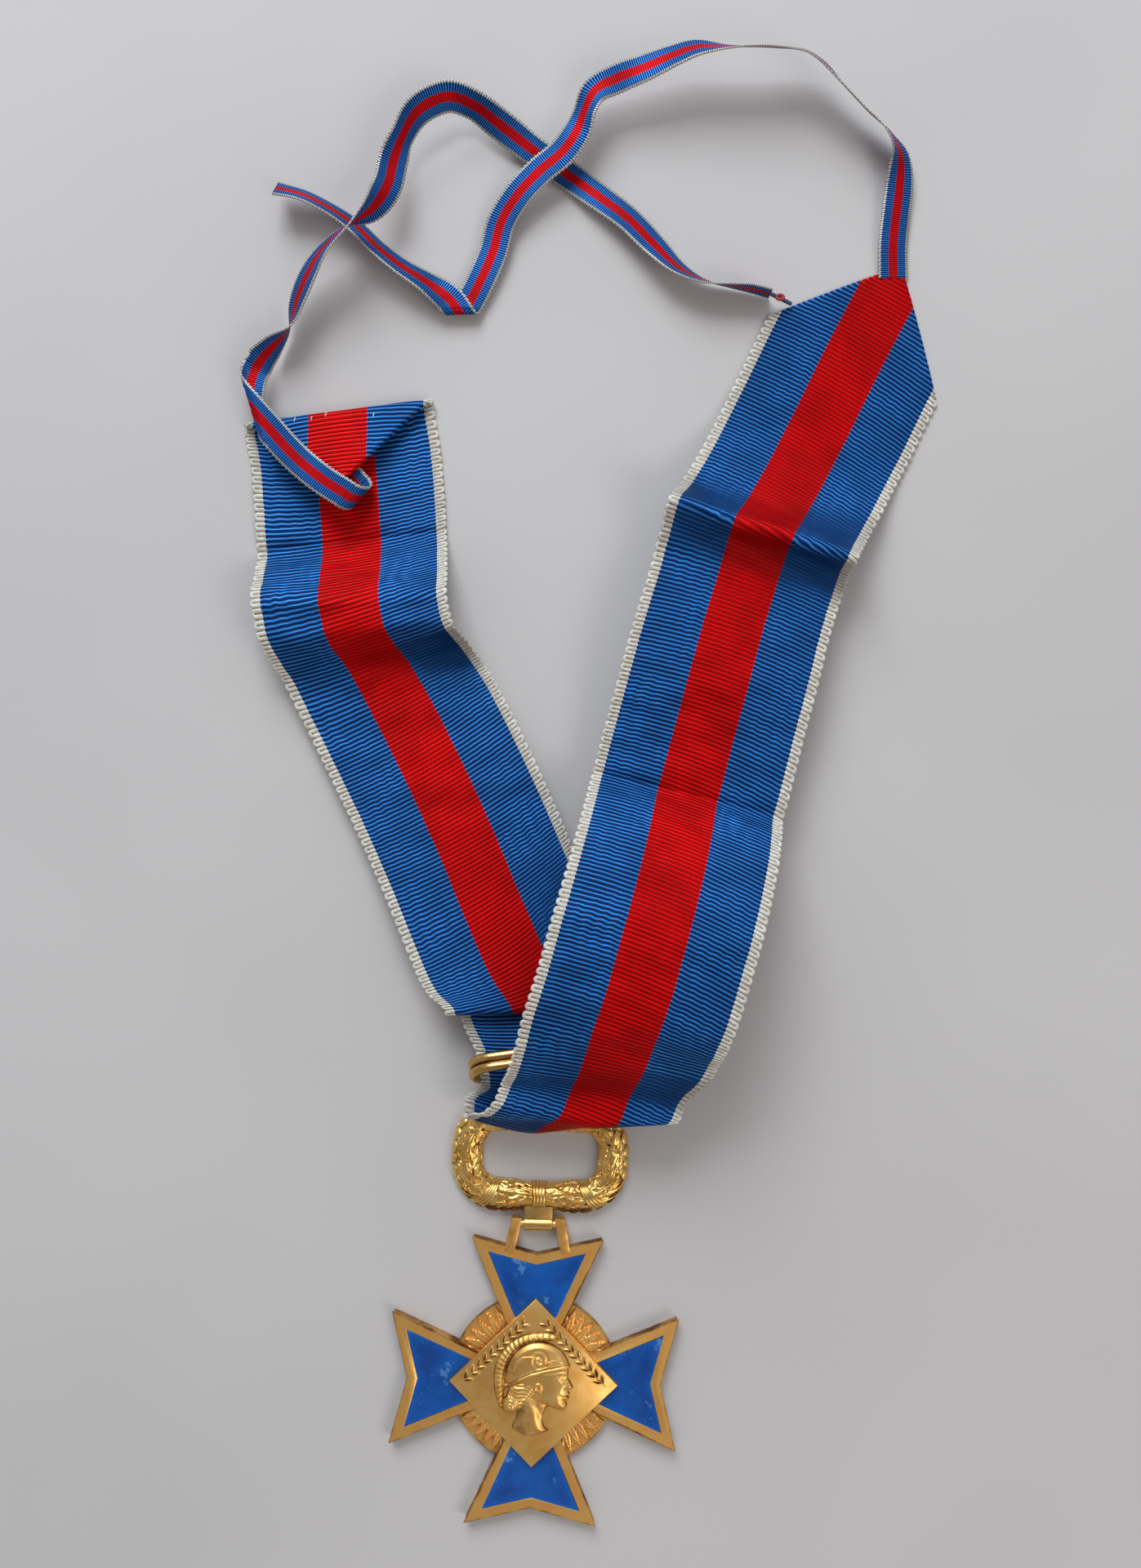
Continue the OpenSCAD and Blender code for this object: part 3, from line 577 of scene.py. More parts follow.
TIE_RIGHT_UNDER = [
    [68.4, 231.9, 0.6, 0], [68.1, 238.6, 0.9, 5], [68.5, 245.4, 1.4, 8], [68.8, 250.9, 2.2, 14],
    [68.4, 256.0, 3.6, 38], [65.9, 259.9, 5.0, 60], [60.5, 264.4, 6.0, 63], [55.2, 269.0, 7.0, 62],
    [50.4, 273.3, 7.6, 58], [47.3, 274.7, 8.0, 58], [43.2, 274.9, 8.4, 61], [37.2, 274.7, 9.0, 62],
    [31.4, 274.4, 9.0, 55], [25.6, 274.2, 8.8, 34], [20.8, 272.8, 8.2, 24], [15.1, 270.6, 7.4, 10],
    [9.4, 268.6, 6.6, 0], [4.9, 266.1, 6.2, 15], [3.0, 262.2, 5.8, 35], [1.6, 258.5, 5.2, 15],
    [-1.1, 254.6, 4.6, 5], [-6.1, 250.3, 4.0, 5], [-10.5, 245.6, 3.2, 5], [-13.5, 240.9, 2.2, 5],
    [-15.3, 234.3, 1.6, 5], [-17.6, 228.6, 1.5, 3], [-20.0, 223.7, 1.3, 0], [-21.6, 220.9, 1.3, 0],
    [-23.2, 218.1, 1.3, 0],
]
TIE_RIGHT_OVER = [
    [-19.7, 218.3, 2.7, 0], [-21.6, 220.9, 2.7, 0], [-23.5, 223.5, 2.7, 0], [-28.4, 227.0, 3.1, 30],
    [-34.0, 230.2, 3.4, 43], [-39.3, 234.2, 3.2, 48], [-44.3, 238.7, 3.2, 50], [-49.6, 241.9, 3.6, 52],
    [-54.9, 244.1, 4.2, 50], [-60.2, 245.0, 4.8, 45],
]


def tie_across(cuts, heading):
    left = unit_rows(np.stack([-heading[:, 1], heading[:, 0], np.zeros(len(heading))], 1))
    rise = unit_rows(np.cross(heading, left))
    lean = np.radians(cuts[:, 3])[:, None]
    return np.cos(lean) * left + np.sin(lean) * rise


def tie_run(rows, turned=False):
    return Route(smooth_run(rows), tie_across, turned)


class FoldedRoute:
    """Two runs of a band at a slanting fold, one over the other: both reach past the fold by the same length.
    lean shifts what lies below the second run along the fold, for a fold that is seen a little from its end."""

    def __init__(self, first, second, reach, line, lean=0):
        self.first, self.second, self.reach, self.lean = first, second, reach, lean * np.array(line)
        self.turn, self.length = first.length - reach, first.length + second.length - 2 * reach
        way, across = (first.at(v, np.array([self.turn]))[0]
                       for v in (np.gradient(first.centre, first.s, axis=0), first.across))
        out = way - np.dot(way, line) * np.array(line) / np.dot(line, line)
        self.out = unit_rows(out[None] * (1, 1, 0))[0]
        self.slant = np.dot(way, self.out), np.dot(across, self.out)
        self.height = first.middle(np.array([self.turn]))[0, 2]
        self.drop = self.height - second.middle(np.array([reach]))[0, 2]

    def lay(self, s, u, w):
        beyond = (s - self.turn) * self.slant[0] + u * self.slant[1]
        radius, way = abs(self.drop) / 2, np.sign(self.drop)
        rolled = np.abs(beyond) < radius * math.pi / 2
        flat_w = np.where(rolled, 0, w)
        laid = np.where((beyond < 0)[:, None], self.first.lay(s, u, flat_w),
                        self.second.lay(s - self.turn + self.reach, u, flat_w))
        angle = np.clip(beyond / radius, -math.pi / 2, math.pi / 2)
        shift = radius * np.cos(angle) - radius * math.pi / 2 + np.abs(beyond) + w * np.cos(angle)
        laid += (rolled * shift)[:, None] * self.out
        round_z = self.height - self.drop / 2 - way * (radius + w) * np.sin(angle)
        laid[:, 2] = np.where(rolled, round_z, laid[:, 2])
        return laid + ((beyond < 0) | rolled)[:, None] * self.leant(laid)

    def leant(self, spots):
        return (self.height - self.drop - spots[:, 2:]) * self.lean

    def middle(self, s):
        early = self.first.middle(s)
        late = self.second.middle(s - self.turn + self.reach)
        return np.where((s < self.turn)[:, None], early + self.leant(early), late)


def make_tie(name, route, cloth, node_name):
    mesh = mesh_of(cloth_slab(TIE_WIDTH, 0, route.length, 8, TIE_RIB / 4), name)
    flat = points_of(mesh)
    map_cloth(mesh, flat)
    u, m, side = flat.T
    edge = np.clip((np.abs(u) - 2.2) / 0.8, 0, 1)
    w = side * (TIE_HALF + TIE_RIB_HEIGHT * rib_profile(m / TIE_RIB))
    u = u + np.sign(u) * edge * TIE_SCALLOP * np.cos(math.pi * m / TIE_RIB)
    set_points(mesh, route.lay(np.clip(m, 0, route.length), u, w))
    made = piece(name, mesh, RIBBON_BODY, cloth)
    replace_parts(made, node_name)
    path = route.middle(np.linspace(0, route.length, 240)) * MM


def tube_through(bm, points, radius, sides=6):
    """Adds a thin round tube through points in the page, all in millimetres."""
    points = points * MM
    way = unit_rows(np.gradient(points, axis=0))
    side = unit_rows(np.cross(way, (0.13, 0.21, 0.97)))
    up = np.cross(side, way)
    made = bmesh.ops.create_grid(bm, x_segments=len(points) - 1, y_segments=sides, size=0.5)["verts"]
    flat = np.array([v.co[:2] for v in made]) + 0.5
    at, turn = np.round(flat[:, 0] * (len(points) - 1)).astype(int), TURN * flat[:, 1]
    spot = points[at] + radius * MM * (np.cos(turn)[:, None] * side[at] + np.sin(turn)[:, None] * up[at])
    for v, co in zip(made, spot):
        v.co = co
    bmesh.ops.remove_doubles(bm, verts=made, dist=1e-7)


def thread_piece(bm, name, finish):
    bmesh.ops.recalc_face_normals(bm, faces=bm.faces)
    return piece(name, mesh_of(bm, name), RIBBON_BODY, finish)


def make_stitches(thread):
    """White tack stitches on the flap and on the right end."""
    bm = bmesh.new()
    late = RIBBON_END - 24.5
    # Place across and along, and the face of the cloth that each lies on
    for u, m, away in ((-5.5, 19.0, 1), (-2.5, 19.5, 1), (-9.0, 19.5, 1), (7.5, 18.0, 1),
                       (1.5, late, -1), (8.5, late, -1), (11.5, late, -1)):
        t = np.linspace(-1, 1, 9)
        line = np.stack([u + 0.12 * t, m + 0.55 * t, -away * (0.34 - 0.30 * t**4)], 1)
        tube_through(bm, lay_ribbon(line), 0.11)
    return thread_piece(bm, "tack_stitches", thread)


def make_tie_knot(red, blue):
    """Red thread wound round the twisted end of the left tie, and the thin blue tail beyond it."""
    start, end = np.array([42.4, 227.0, 3.0]), np.array([47.2, 225.6, 1.2])
    bm = bmesh.new()
    tube_through(bm, start + (end - start) * np.linspace(0, 1, 9)[:, None], 0.42, 8)
    thread_piece(bm, "tie_left_tail", blue)
    a = np.linspace(0, TURN, 25)
    bm = bmesh.new()
    tube_through(bm, np.stack([44.6 + 0.75 * np.cos(a), 226.4 + 0.5 * np.sin(a), 2.7 + 0 * a], 1), 0.30, 8)
    thread_piece(bm, "tie_left_knot", red)


# Metalwork

HINGE_Y, HINGE_Z, SLEEVE_R, SLEEVE_L, PIN_R = 32.5, 1.5, 1.42, 6.0, 0.8
ARM_REACH, ARM_SPAN, ARM_WAIST, NOTCH = 29.5, 26.8, 1.1, 3.4
ARM_SLOPE, NOTCH_SLOPE = (ARM_SPAN - ARM_WAIST) / 2 / ARM_REACH, 2 * NOTCH / ARM_SPAN
ARM_NECK, FIELD_NECK = 10.0, 9.8
BORDER, PLATE_T, RECESS, ENAMEL_TOP, ENAMEL_GAP = 1.85, 2.4, 0.7, 2.36, 0.01
DISC_R, DISC_T, DISC_LOW, FAN_FROM = 17.45, 1.3, 0.12, 9.5
PLAQUE_HALF, PLAQUE_TOP, PLAQUE_T = 17.45, 3.4, 0.9
WREATH_BASE, WREATH_W, WREATH_H, BAND_W, CORNER_R = 34.9, 36.6, 23.0, 6.3, 7.0
WREATH_MID = WREATH_BASE + WREATH_H / 2
RADIAN = 2.75  # length over the wreath's round section that one radian takes
CORE_ACROSS, CORE_HIGH, CORE_LOW = 2.62, 2.35, 0.15
THIN_AT_KNOT, THIN_REACH = 0.80, 6.5
LEAF_STEP, LOBE_STEP = 1.6, 2.1
COVER = 3.3  # radians of the wreath's section that the leaves and the knot go round


def ripple(angle):
    """Round waves between 0 and 1."""
    return 0.5 + 0.5 * np.cos(angle)


def metal_bm():
    """Empty mesh in millimetres, and its measure of how deep in a recess each point lies, which on some parts also
    carries painted shade.
    """
    bm = bmesh.new()
    return bm, bm.verts.layers.float.new("recess")


def metal_piece(bm, name, body, finish, node_name, sharp=40):
    """Closes a metal mesh in millimetres as a piece, its edges kept crisp above an angle."""
    bmesh.ops.recalc_face_normals(bm, faces=bm.faces)
    bmesh.ops.scale(bm, verts=bm.verts, vec=(MM, MM, MM))
    for edge in bm.edges:
        edge.smooth = not (edge.is_manifold and edge.calc_face_angle(0) > math.radians(sharp))
    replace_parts(piece(name, mesh_of(bm, name), body, finish), node_name)


def note_recess(bm, verts, value):
    layer = bm.verts.layers.float["recess"]
    for v in verts:
        v[layer] = value


def shaped_grid(bm, along, across, shape, closed=False):
    """Adds a grid and shapes it: shape takes places from 0 to 1 along and across, and gives x, y, z and recess."""
    made = bmesh.ops.create_grid(bm, x_segments=along, y_segments=across, size=0.5)["verts"]
    layer = bm.verts.layers.float["recess"]
    flat = np.array([v.co[:2] for v in made]) + 0.5
    for v, row in zip(made, np.stack(shape(flat[:, 0], flat[:, 1]), 1)):
        v.co, v[layer] = row[:3], row[3]
    if closed:
        bmesh.ops.remove_doubles(bm, verts=made, dist=1e-4)
    return made


def raise_faces(bm, faces, height):
    """Turns flat faces to look down and raises a copy of them. Gives the copies."""
    for f in faces:
        f.normal_update()
        if f.normal.z > 0:
            f.normal_flip()
    lids = kind_of(bmesh.ops.extrude_face_region(bm, geom=faces, use_keep_orig=True)["geom"], bmesh.types.BMFace)
    bmesh.ops.translate(bm, verts=verts_of(lids), vec=(0, 0, height))
    return lids


def bevel_edges(bm, edges, offset):
    bmesh.ops.bevel(bm, geom=edges, offset=offset, affect="EDGES", segments=2, profile=0.5, material=-1)


def plate(bm, outline, low, high, bevel, recess):
    """Flat plate with an outline in the page, its upper edges and its corners bevelled."""
    lid = raise_faces(bm, [bm.faces.new([bm.verts.new((x, y, low)) for x, y in outline])], high - low)[0]
    around = each_once(e for v in lid.verts for e in v.link_edges)
    note_recess(bm, {v for e in around for v in e.verts}, recess)
    bmesh.ops.recalc_face_normals(bm, faces=each_once(f for e in around for f in e.link_faces))
    bevel_edges(bm, around, bevel)


def chased(x, y, leaves, veins):
    """Height and hollowness of chased leaves, each laid over the ones before it and given by its foot, turn,
    length, width, bend and lift. veins counts the slanting veins and lobes of a leaf; with none it is plain."""
    h, hollow = np.zeros(len(x)), np.full(len(x), 0.75)
    for foot_x, foot_y, turn, length, width, bend, lift in leaves:
        c, s = math.cos(turn), math.sin(turn)
        p = ((x - foot_x) * c + (y - foot_y) * s) / length
        held = np.clip(p, 0.001, 0.999)
        lobes = 1 + (0.14 if veins else 0) * np.cos(TURN * veins * held)
        half = width / 2 * np.sin(np.pi * held**0.62) ** 0.75 * lobes
        v = (-(x - foot_x) * s + (y - foot_y) * c - bend * p * p) / half
        inside = (p > 0) & (p < 1) & (np.abs(v) < 1)
        v = np.clip(v, -1, 1)
        middle = np.exp(-(v / 0.15) ** 2)
        groove = (0.5 - 0.5 * np.cos(TURN * (veins * held - 0.9 * np.abs(v)))) * bool(veins) * (1 - middle)
        body = (1 - v * v) ** 0.4 * np.sin(np.pi * (0.08 + 0.84 * held)) ** 0.3
        h = np.where(inside, lift + 0.15 * held + 0.30 * body - 0.12 * middle - 0.07 * groove, h)
        edge = 0.6 * np.clip(1.8 - half * (1 - np.abs(v)) / 0.08, 0, 1)
        hollow = np.where(inside, np.clip(0.5 * middle + 0.35 * groove + edge, 0, 1), hollow)
    return h, hollow


# Wreath: a D-shaped core along a rounded oblong, dressed with leaves, two pairs of wraps and a knot

def wreath_line():
    """The right half of the wreath's line from its knot to its top, as lengths, places and directions."""
    half_x, half_y = (WREATH_W - BAND_W) / 2, (WREATH_H - BAND_W) / 2
    run_x, run_y = half_x - CORNER_R, half_y - CORNER_R
    bend = np.linspace(0, math.pi / 2, 25)[:-1]
    out, back = CORNER_R * np.sin(bend), CORNER_R * (1 - np.cos(bend))
    flat, up = np.linspace(0, run_x, 9), np.linspace(-run_y, run_y, 5)[:-1]
    x = np.concatenate([flat[:-1], run_x + out, np.full(4, half_x), half_x - back, flat[::-1]])
    y = np.concatenate([np.full(8, -half_y), back - half_y, up, run_y + out, np.full(9, half_y)])
    line = np.stack([x, y], 1)
    s = lengths_along(line)
    return s, line, np.gradient(line, s, axis=0)


WREATH_S, WREATH_XY, WREATH_WAY = wreath_line()
BRANCH = WREATH_S[-1]


def on_wreath(s, arc, height, side=1):
    """Point of the wreath at a length from its knot, an arc outwards over its section and a height on it."""
    x, y, dx, dy = (np.interp(s, WREATH_S, column) for column in (*WREATH_XY.T, *WREATH_WAY.T))
    size = np.hypot(dx, dy)
    slim = THIN_AT_KNOT + (1 - THIN_AT_KNOT) * np.clip(np.abs(s) / THIN_REACH, 0, 1) ** 1.5
    across = (CORE_ACROSS * slim + height) * np.sin(arc / RADIAN) - 0.525 * (1 - slim)
    z = np.maximum((CORE_HIGH + height) * np.cos(arc / RADIAN), 0.0) + CORE_LOW
    return side * (x + across * dy / size), WREATH_MID + y - across * dx / size, z


def wreath_foliage(bm, side, rng):
    """The core of one branch, covered with leaves and with round lobes along its outer side."""
    leaves = []
    for station in np.arange(BRANCH - 1.0, -1.5, -LEAF_STEP):
        for lane in (-3.1, 3.0, -1.3, 1.2, 0.0):
            wobble = rng.uniform(-1, 1, 6)
            turn = math.radians(18 * np.sign(lane) + 22 * wobble[2])
            leaves.append((station + 0.8 * wobble[0], lane + 0.4 * wobble[1], turn, 4.2 + 0.8 * wobble[3],
                           2.3 + 0.4 * wobble[4], 0.7 * wobble[5], 0.24 + 0.20 * wobble[1]))

    def foliage(p, q):
        s, arc = p * BRANCH, (q - 0.5) * RADIAN * COVER
        h, hollow = chased(s, arc, leaves, 2.0)
        # Round lobes along the outer side, painted lighter on their tops as a painted highlight and darker towards
        # their feet
        from_lobe = s - 0.9 - LOBE_STEP * np.round((s - 0.9) / LOBE_STEP)
        far = np.hypot(from_lobe, 0.8 * (arc - 3.3)) / 1.12
        lobe = 0.2 + 0.72 * np.sqrt(np.clip(1 - far * far, 0, 1))
        h, hollow = np.where(far < 1, lobe, h), np.where(far < 1, 0.2 + 0.6 * far**4, hollow)
        # Painted shade: the outer side of the branch is darker, most over its lower part
        shaded = 0.62 * np.clip((arc - 1.0) / 1.2, 0, 1) * np.clip((19 - s) / 5, 0.25, 1)
        return (*on_wreath(s, arc, h, side), np.clip(hollow + shaded, 0, 1))
    shaped_grid(bm, 380, 64, foliage)


def strand(bm, side, start, end, thick, lift, bend, hollow, cuts):
    """A round strand over the wreath from one length and arc to another."""
    def shape(p, q):
        turn = TURN * q
        s, arc = start[0] + (end[0] - start[0]) * p, start[1] + (end[1] - start[1]) * p**bend
        return (*on_wreath(s, arc + thick * np.sin(turn), lift + thick * np.cos(turn), side), np.full(len(p), hollow))
    shaped_grid(bm, cuts, 6, shape, True)


def wound(p):
    """Five turns of wire side by side: their ridges, the fall at both ends, and how hollow it is between them."""
    ridge = ripple(TURN * 5 * p)
    edge = np.minimum(np.clip(p * 8, 0, 1), np.clip((1 - p) * 8, 0, 1))
    return ridge, edge**0.5, np.clip(1.0 - ridge * edge, 0, 1) * 0.7


def wraps(bm, side):
    for s0, slant, wide in ((10.6, 0.42, 3.0), (31.5, -0.30, 2.8)):
        def wrap(p, q):
            arc = (q - 0.5) * RADIAN * 3.35
            ridge, fall, hollow = wound(p)
            return (*on_wreath(s0 + (p - 0.5) * wide + slant * arc, arc, (0.74 + 0.06 * ridge) * fall, side), hollow)
        shaped_grid(bm, 24, 16, wrap)


def knot(p, q):
    arc = (q - 0.5) * RADIAN * COVER
    ridge, fall, hollow = wound(p)
    s = (p - 0.5) * 3.3 * (1 + 0.12 * (arc / 4.5) ** 2)
    x, y, z = on_wreath(np.abs(s), arc, (0.75 + 0.09 * ridge) * fall)
    return np.sign(s) * x, y, z, hollow


def hinge_tab(bm):
    """Tab under the knot and the rolled sleeve of the hinge."""
    low, high = HINGE_Y + 0.3, WREATH_BASE + 1.4
    # The tab's high hollow measure is painted shade from the wreath above it
    plate(bm, [(-2.9, low), (2.9, low), (2.9, high), (-2.9, high)], 0.6, 2.45, 0.12, 0.74)

    def sleeve(p, q):
        turn, end = TURN * q, np.minimum(p, 1 - p)
        wall = SLEEVE_R - 0.12 * np.clip(1 - end / 0.03, 0, 1)
        seam = 0.14 * np.exp(-((q - 0.30) / 0.012) ** 2)
        r = np.where(end > 0.001, wall, PIN_R + 0.05) - seam
        return ((p - 0.5) * SLEEVE_L, HINGE_Y + r * np.sin(turn), HINGE_Z + r * np.cos(turn),
                np.clip(seam * 9 + (end < 0.01), 0, 1))
    shaped_grid(bm, 40, 96, sleeve, True)


def ring_loop(bm):
    """Loop of flat wire that holds the ring, under the ribbon."""
    edges = []
    for half, back, front in ((1.72, 60.5, 64.2), (2.55, 56.6, 64.2)):
        made = bmesh.ops.create_circle(bm, segments=32, radius=half)["verts"]
        bmesh.ops.rotate(bm, verts=made, matrix=about("Y", 90))
        for v in made:
            v.co += Vector((-1.0 - v.co.x, front if v.co.y >= 0 else back, 2.6))
        edges += each_once(e for v in made for e in v.link_edges)
    ring = bmesh.ops.bridge_loops(bm, edges=edges)["faces"]
    thick = bmesh.ops.extrude_face_region(bm, geom=ring)["geom"]
    bmesh.ops.translate(bm, verts=kind_of(thick, bmesh.types.BMVert), vec=(2.0, 0, 0))


def make_wreath(gold):
    bm, _ = metal_bm()
    rng = np.random.default_rng(11)
    for side in (-1, 1):
        wreath_foliage(bm, side, rng)
        # Strands that run out of the wraps, from one length and arc to another, then two stems from the knot
        for start, end in (((11.6, 0.6), (17.0, 3.3)), ((11.8, 1.5), (15.2, 3.7)), ((11.6, -0.4), (18.4, 1.3)),
                           ((32.6, 0.8), (38.0, 3.0))):
            strand(bm, side, start, end, 0.15, 0.66, 1.6, 0.15, 16)
        for lane in (1.0, -1.0):
            strand(bm, side, (1.6, 0.75 * lane), (8.8, 1.25 * lane), 0.17, 0.62, 1.0, 0.2, 14)
        wraps(bm, side)
    shaped_grid(bm, 26, 16, knot)
    hinge_tab(bm)
    ring_loop(bm)
    metal_piece(bm, "wreath_of_leaves", RIBBON_BODY, gold, "wreath")


# Cross: four notched arms with recessed fields, a disc of leaf fans and the bail

def arm_corner(inset):
    """Tip corner and notch of an arm that points up, with its side and its end moved in."""
    x0 = ARM_WAIST / 2 - inset * math.hypot(1, ARM_SLOPE)
    y0 = ARM_REACH - NOTCH - inset * math.hypot(1, NOTCH_SLOPE)
    y = (y0 + NOTCH_SLOPE * x0) / (1 - ARM_SLOPE * NOTCH_SLOPE)
    return x0 + ARM_SLOPE * y, y, y0


def arm_field(inset):
    """Outline of an arm that points up, moved in: neck, tip, notch, tip and neck."""
    tip_x, tip_y, notch_y = arm_corner(inset)
    low = FIELD_NECK + inset
    neck_x = ARM_WAIST / 2 - inset * math.hypot(1, ARM_SLOPE) + ARM_SLOPE * low
    return [(-neck_x, low), (-tip_x, tip_y), (0, notch_y), (tip_x, tip_y), (neck_x, low)]


def cross_arms(bm, layer):
    tip_x, tip_y, notch_y = arm_corner(0)
    hub, neck_x = ARM_WAIST / 2 / (1 - ARM_SLOPE), ARM_WAIST / 2 + ARM_SLOPE * ARM_NECK
    centre, arms = [], []
    for quarter in range(4):
        turn = about("Z", -90 * quarter)
        left, right, tip_left, notch, tip_right, crook = (bm.verts.new(turn @ Vector((x, y, 0))) for x, y in (
            (-neck_x, ARM_NECK), (neck_x, ARM_NECK), (-tip_x, tip_y), (0, notch_y), (tip_x, tip_y), (hub, hub)))
        arms.append(bm.faces.new([right, tip_right, notch, tip_left, left]))
        centre += [left, right, crook]
    lids = raise_faces(bm, [*arms, bm.faces.new(centre)], PLATE_T)
    for f in lids:
        f.normal_flip()
    note_recess(bm, bm.verts, 0.8)
    bm.normal_update()
    rims = each_once(e for f in lids for e in f.edges)
    bevel_edges(bm, [e for e in rims if sum(f in lids for f in e.link_faces) == 1], 0.22)
    bm.normal_update()
    fields = []
    for f in bm.faces:
        middle = f.calc_center_median()
        if f.normal.z > 0.99 and middle.z > 1 and middle.length > 9:
            fields.append(f)
    # Lines of the border: how far in, and how hollow
    for inset, value in ((0.47, 0.0), (BORDER - 0.09, 0.0), (BORDER, 0.25)):
        bmesh.ops.inset_individual(bm, faces=fields, thickness=0.1, use_even_offset=True)
        for f in fields:
            middle = f.calc_center_median()
            turn = Matrix.Rotation(math.atan2(-middle.x, middle.y), 3, "Z")
            corners = [turn @ Vector((x, y, PLATE_T)) for x, y in arm_field(inset)]
            for v in f.verts:
                v.co = min(corners, key=lambda c, v=v: (c - v.co).length)
                v[layer] = value
    bmesh.ops.translate(bm, verts=verts_of(fields), vec=(0, 0, -0.05))
    sunk = verts_of(bmesh.ops.extrude_discrete_faces(bm, faces=fields)["faces"])
    bmesh.ops.translate(bm, verts=sunk, vec=(0, 0, 0.05 - RECESS))
    note_recess(bm, sunk, 1.0)


def leaf_disc(bm):
    """Disc with a rim and fans of leaves between the arms."""
    disc = bmesh.ops.create_circle(bm, cap_ends=True, segments=96, radius=DISC_R)["verts"]
    bmesh.ops.translate(bm, verts=disc, vec=(0, 0, DISC_LOW))
    flat = next(f for f in bm.faces if len(f.verts) == 96)
    raised = bmesh.ops.extrude_face_region(bm, geom=[flat], use_keep_orig=True)["geom"]
    crown = kind_of(raised, bmesh.types.BMFace)[0]
    bmesh.ops.translate(bm, verts=crown.verts, vec=(0, 0, DISC_T - DISC_LOW))
    bmesh.ops.inset_individual(bm, faces=[crown], thickness=0.5)
    note_recess(bm, [v for v in bm.verts if 16.9 < v.co.xy.length < 17.6], 0.75)
    note_recess(bm, crown.verts, 0.35)
    # Leaves of a fan from the outer ones to the middle one
    leaves = []
    for aside, foot, slant, length, bend in ((3.3, 11.6, 68, 4.9, 0.9), (2.6, 11.2, 51, 5.7, 0.9),
                                             (1.8, 10.9, 34, 6.1, 0.7), (0.9, 10.7, 17, 6.3, 0.4),
                                             (0.0, 10.6, 0, 6.4, 0.0)):
        for side in (-1, 1):
            turn = math.radians(90 - side * slant)
            leaves.append((side * aside, foot, turn, length, 1.9, side * bend, 0.30 - 0.04 * aside))

    def fan_of_leaves(p, q):
        r, a = FAN_FROM + (DISC_R - 0.55 - FAN_FROM) * q, np.radians(38 * (2 * p - 1))
        x, y = r * np.sin(a), r * np.cos(a)
        h, hollow = chased(x, y, leaves, 0)
        grain = np.sin(11 * x + 2 * np.sin(7 * y)) * np.sin(12 * y + 2 * np.sin(8 * x))
        bare = h < 0.01
        return (x, y, DISC_T + np.where(bare, 0.05 * grain - 0.02, h),
                np.where(bare, 0.62 - 0.2 * grain, hollow * 0.85))
    for quarter in range(4):
        fan = shaped_grid(bm, 100, 64, fan_of_leaves)
        bmesh.ops.rotate(bm, verts=fan, matrix=about("Z", -45 - 90 * quarter))


def bail(bm):
    """Two posts and the pin between them."""
    foot_y, top_y = arm_corner(0)[2] + NOTCH_SLOPE * 6.9 - 0.6, HINGE_Y + 1.3
    for side in (-1, 1):
        post = [(side * x, y) for x, y in ((4.8, foot_y - 0.9), (6.9, foot_y - 0.5), (5.5, top_y), (3.4, top_y))]
        plate(bm, post, 0.5, 2.5, 0.2, 0.55)
    pin = bmesh.ops.create_cone(bm, cap_ends=True, segments=24, radius1=PIN_R, radius2=PIN_R, depth=8.6)["verts"]
    bmesh.ops.rotate(bm, verts=pin, matrix=about("Y", 90))
    bmesh.ops.translate(bm, verts=pin, vec=(0, HINGE_Y, HINGE_Z))


def make_cross(gold):
    bm, layer = metal_bm()
    cross_arms(bm, layer)
    leaf_disc(bm)
    bail(bm)
    metal_piece(bm, "cross_plate", CROSS_BODY, gold, "cross")


def make_ring(gold):
    """Long ring on edge, leaning up the page: two round wires side by side, bent round at both ends."""
    bm, _ = metal_bm()
    end_r, straight, wire, half = 4.75, 33.2, 1.0, 0.86
    bend_l, place, turned, lean = math.pi * end_r, (6.84, 68.6, 6.86), 9.5, -28

    for side in (-1, 1):
        def shape(p, q):
            d, turn = p * 2 * (straight + bend_l), TURN * q
            first = np.clip((d - straight) / end_r, 0, math.pi)
            bend = first + np.clip((d - 2 * straight) / end_r - math.pi, 0, math.pi)
            line = np.clip(d, 0, straight) - np.clip(d - straight - bend_l, 0, straight) - straight / 2
            band, out = side * wire + wire * 1.02 * np.cos(turn), half * np.sin(turn)
            hollow = np.exp(-(band / 0.3) ** 2) + 0.25 * (np.abs(out) < 0.3)
            return (line + (end_r + out) * np.sin(bend), -band, -(end_r + out) * np.cos(bend), np.clip(hollow, 0, 1))
        shaped_grid(bm, 220, 18, shape, True)
    bmesh.ops.rotate(bm, verts=bm.verts, matrix=about("Z", turned) @ about("X", lean))
    bmesh.ops.translate(bm, verts=bm.verts, vec=place)
    metal_piece(bm, "long_grooved_ring", RIBBON_BODY, gold, "suspension_ring", 60)


def make_enamel(name, quarter, glass):
    """Glassy field in the recess of an arm: it climbs a little at the metal and is flat in the middle."""
    bm, layer = metal_bm()
    face = bm.faces.new([bm.verts.new((x, y, ENAMEL_TOP)) for x, y in reversed(arm_field(BORDER + ENAMEL_GAP))])
    note_recess(bm, bm.verts, 1.0)
    # Rings from the metal inwards: width, rise and hollowness
    for thick, drop, value in ((0.12, -0.03, 0.9), (0.5, -0.03, 0.5), (1.5, 0.02, 0.2)):
        bmesh.ops.inset_individual(bm, faces=[face], thickness=thick, use_even_offset=True)
        for v in face.verts:
            v.co.z += drop
            v[layer] = value
    down = bmesh.ops.extrude_edge_only(bm, edges=[e for e in bm.edges if e.is_boundary])["geom"]
    wall = kind_of(down, bmesh.types.BMVert)
    for v in wall:
        v.co.z = PLATE_T - RECESS + 2 * ENAMEL_GAP
    bmesh.ops.contextual_create(bm, geom=wall + kind_of(down, bmesh.types.BMEdge))
    bmesh.ops.rotate(bm, verts=bm.verts, matrix=about("Z", -90 * quarter))
    metal_piece(bm, "enamel_field_" + name, CROSS_BODY, glass, "enamel_" + name)


# Plaque: a lozenge with a raised head in an antique crested helmet and two laurel sprigs

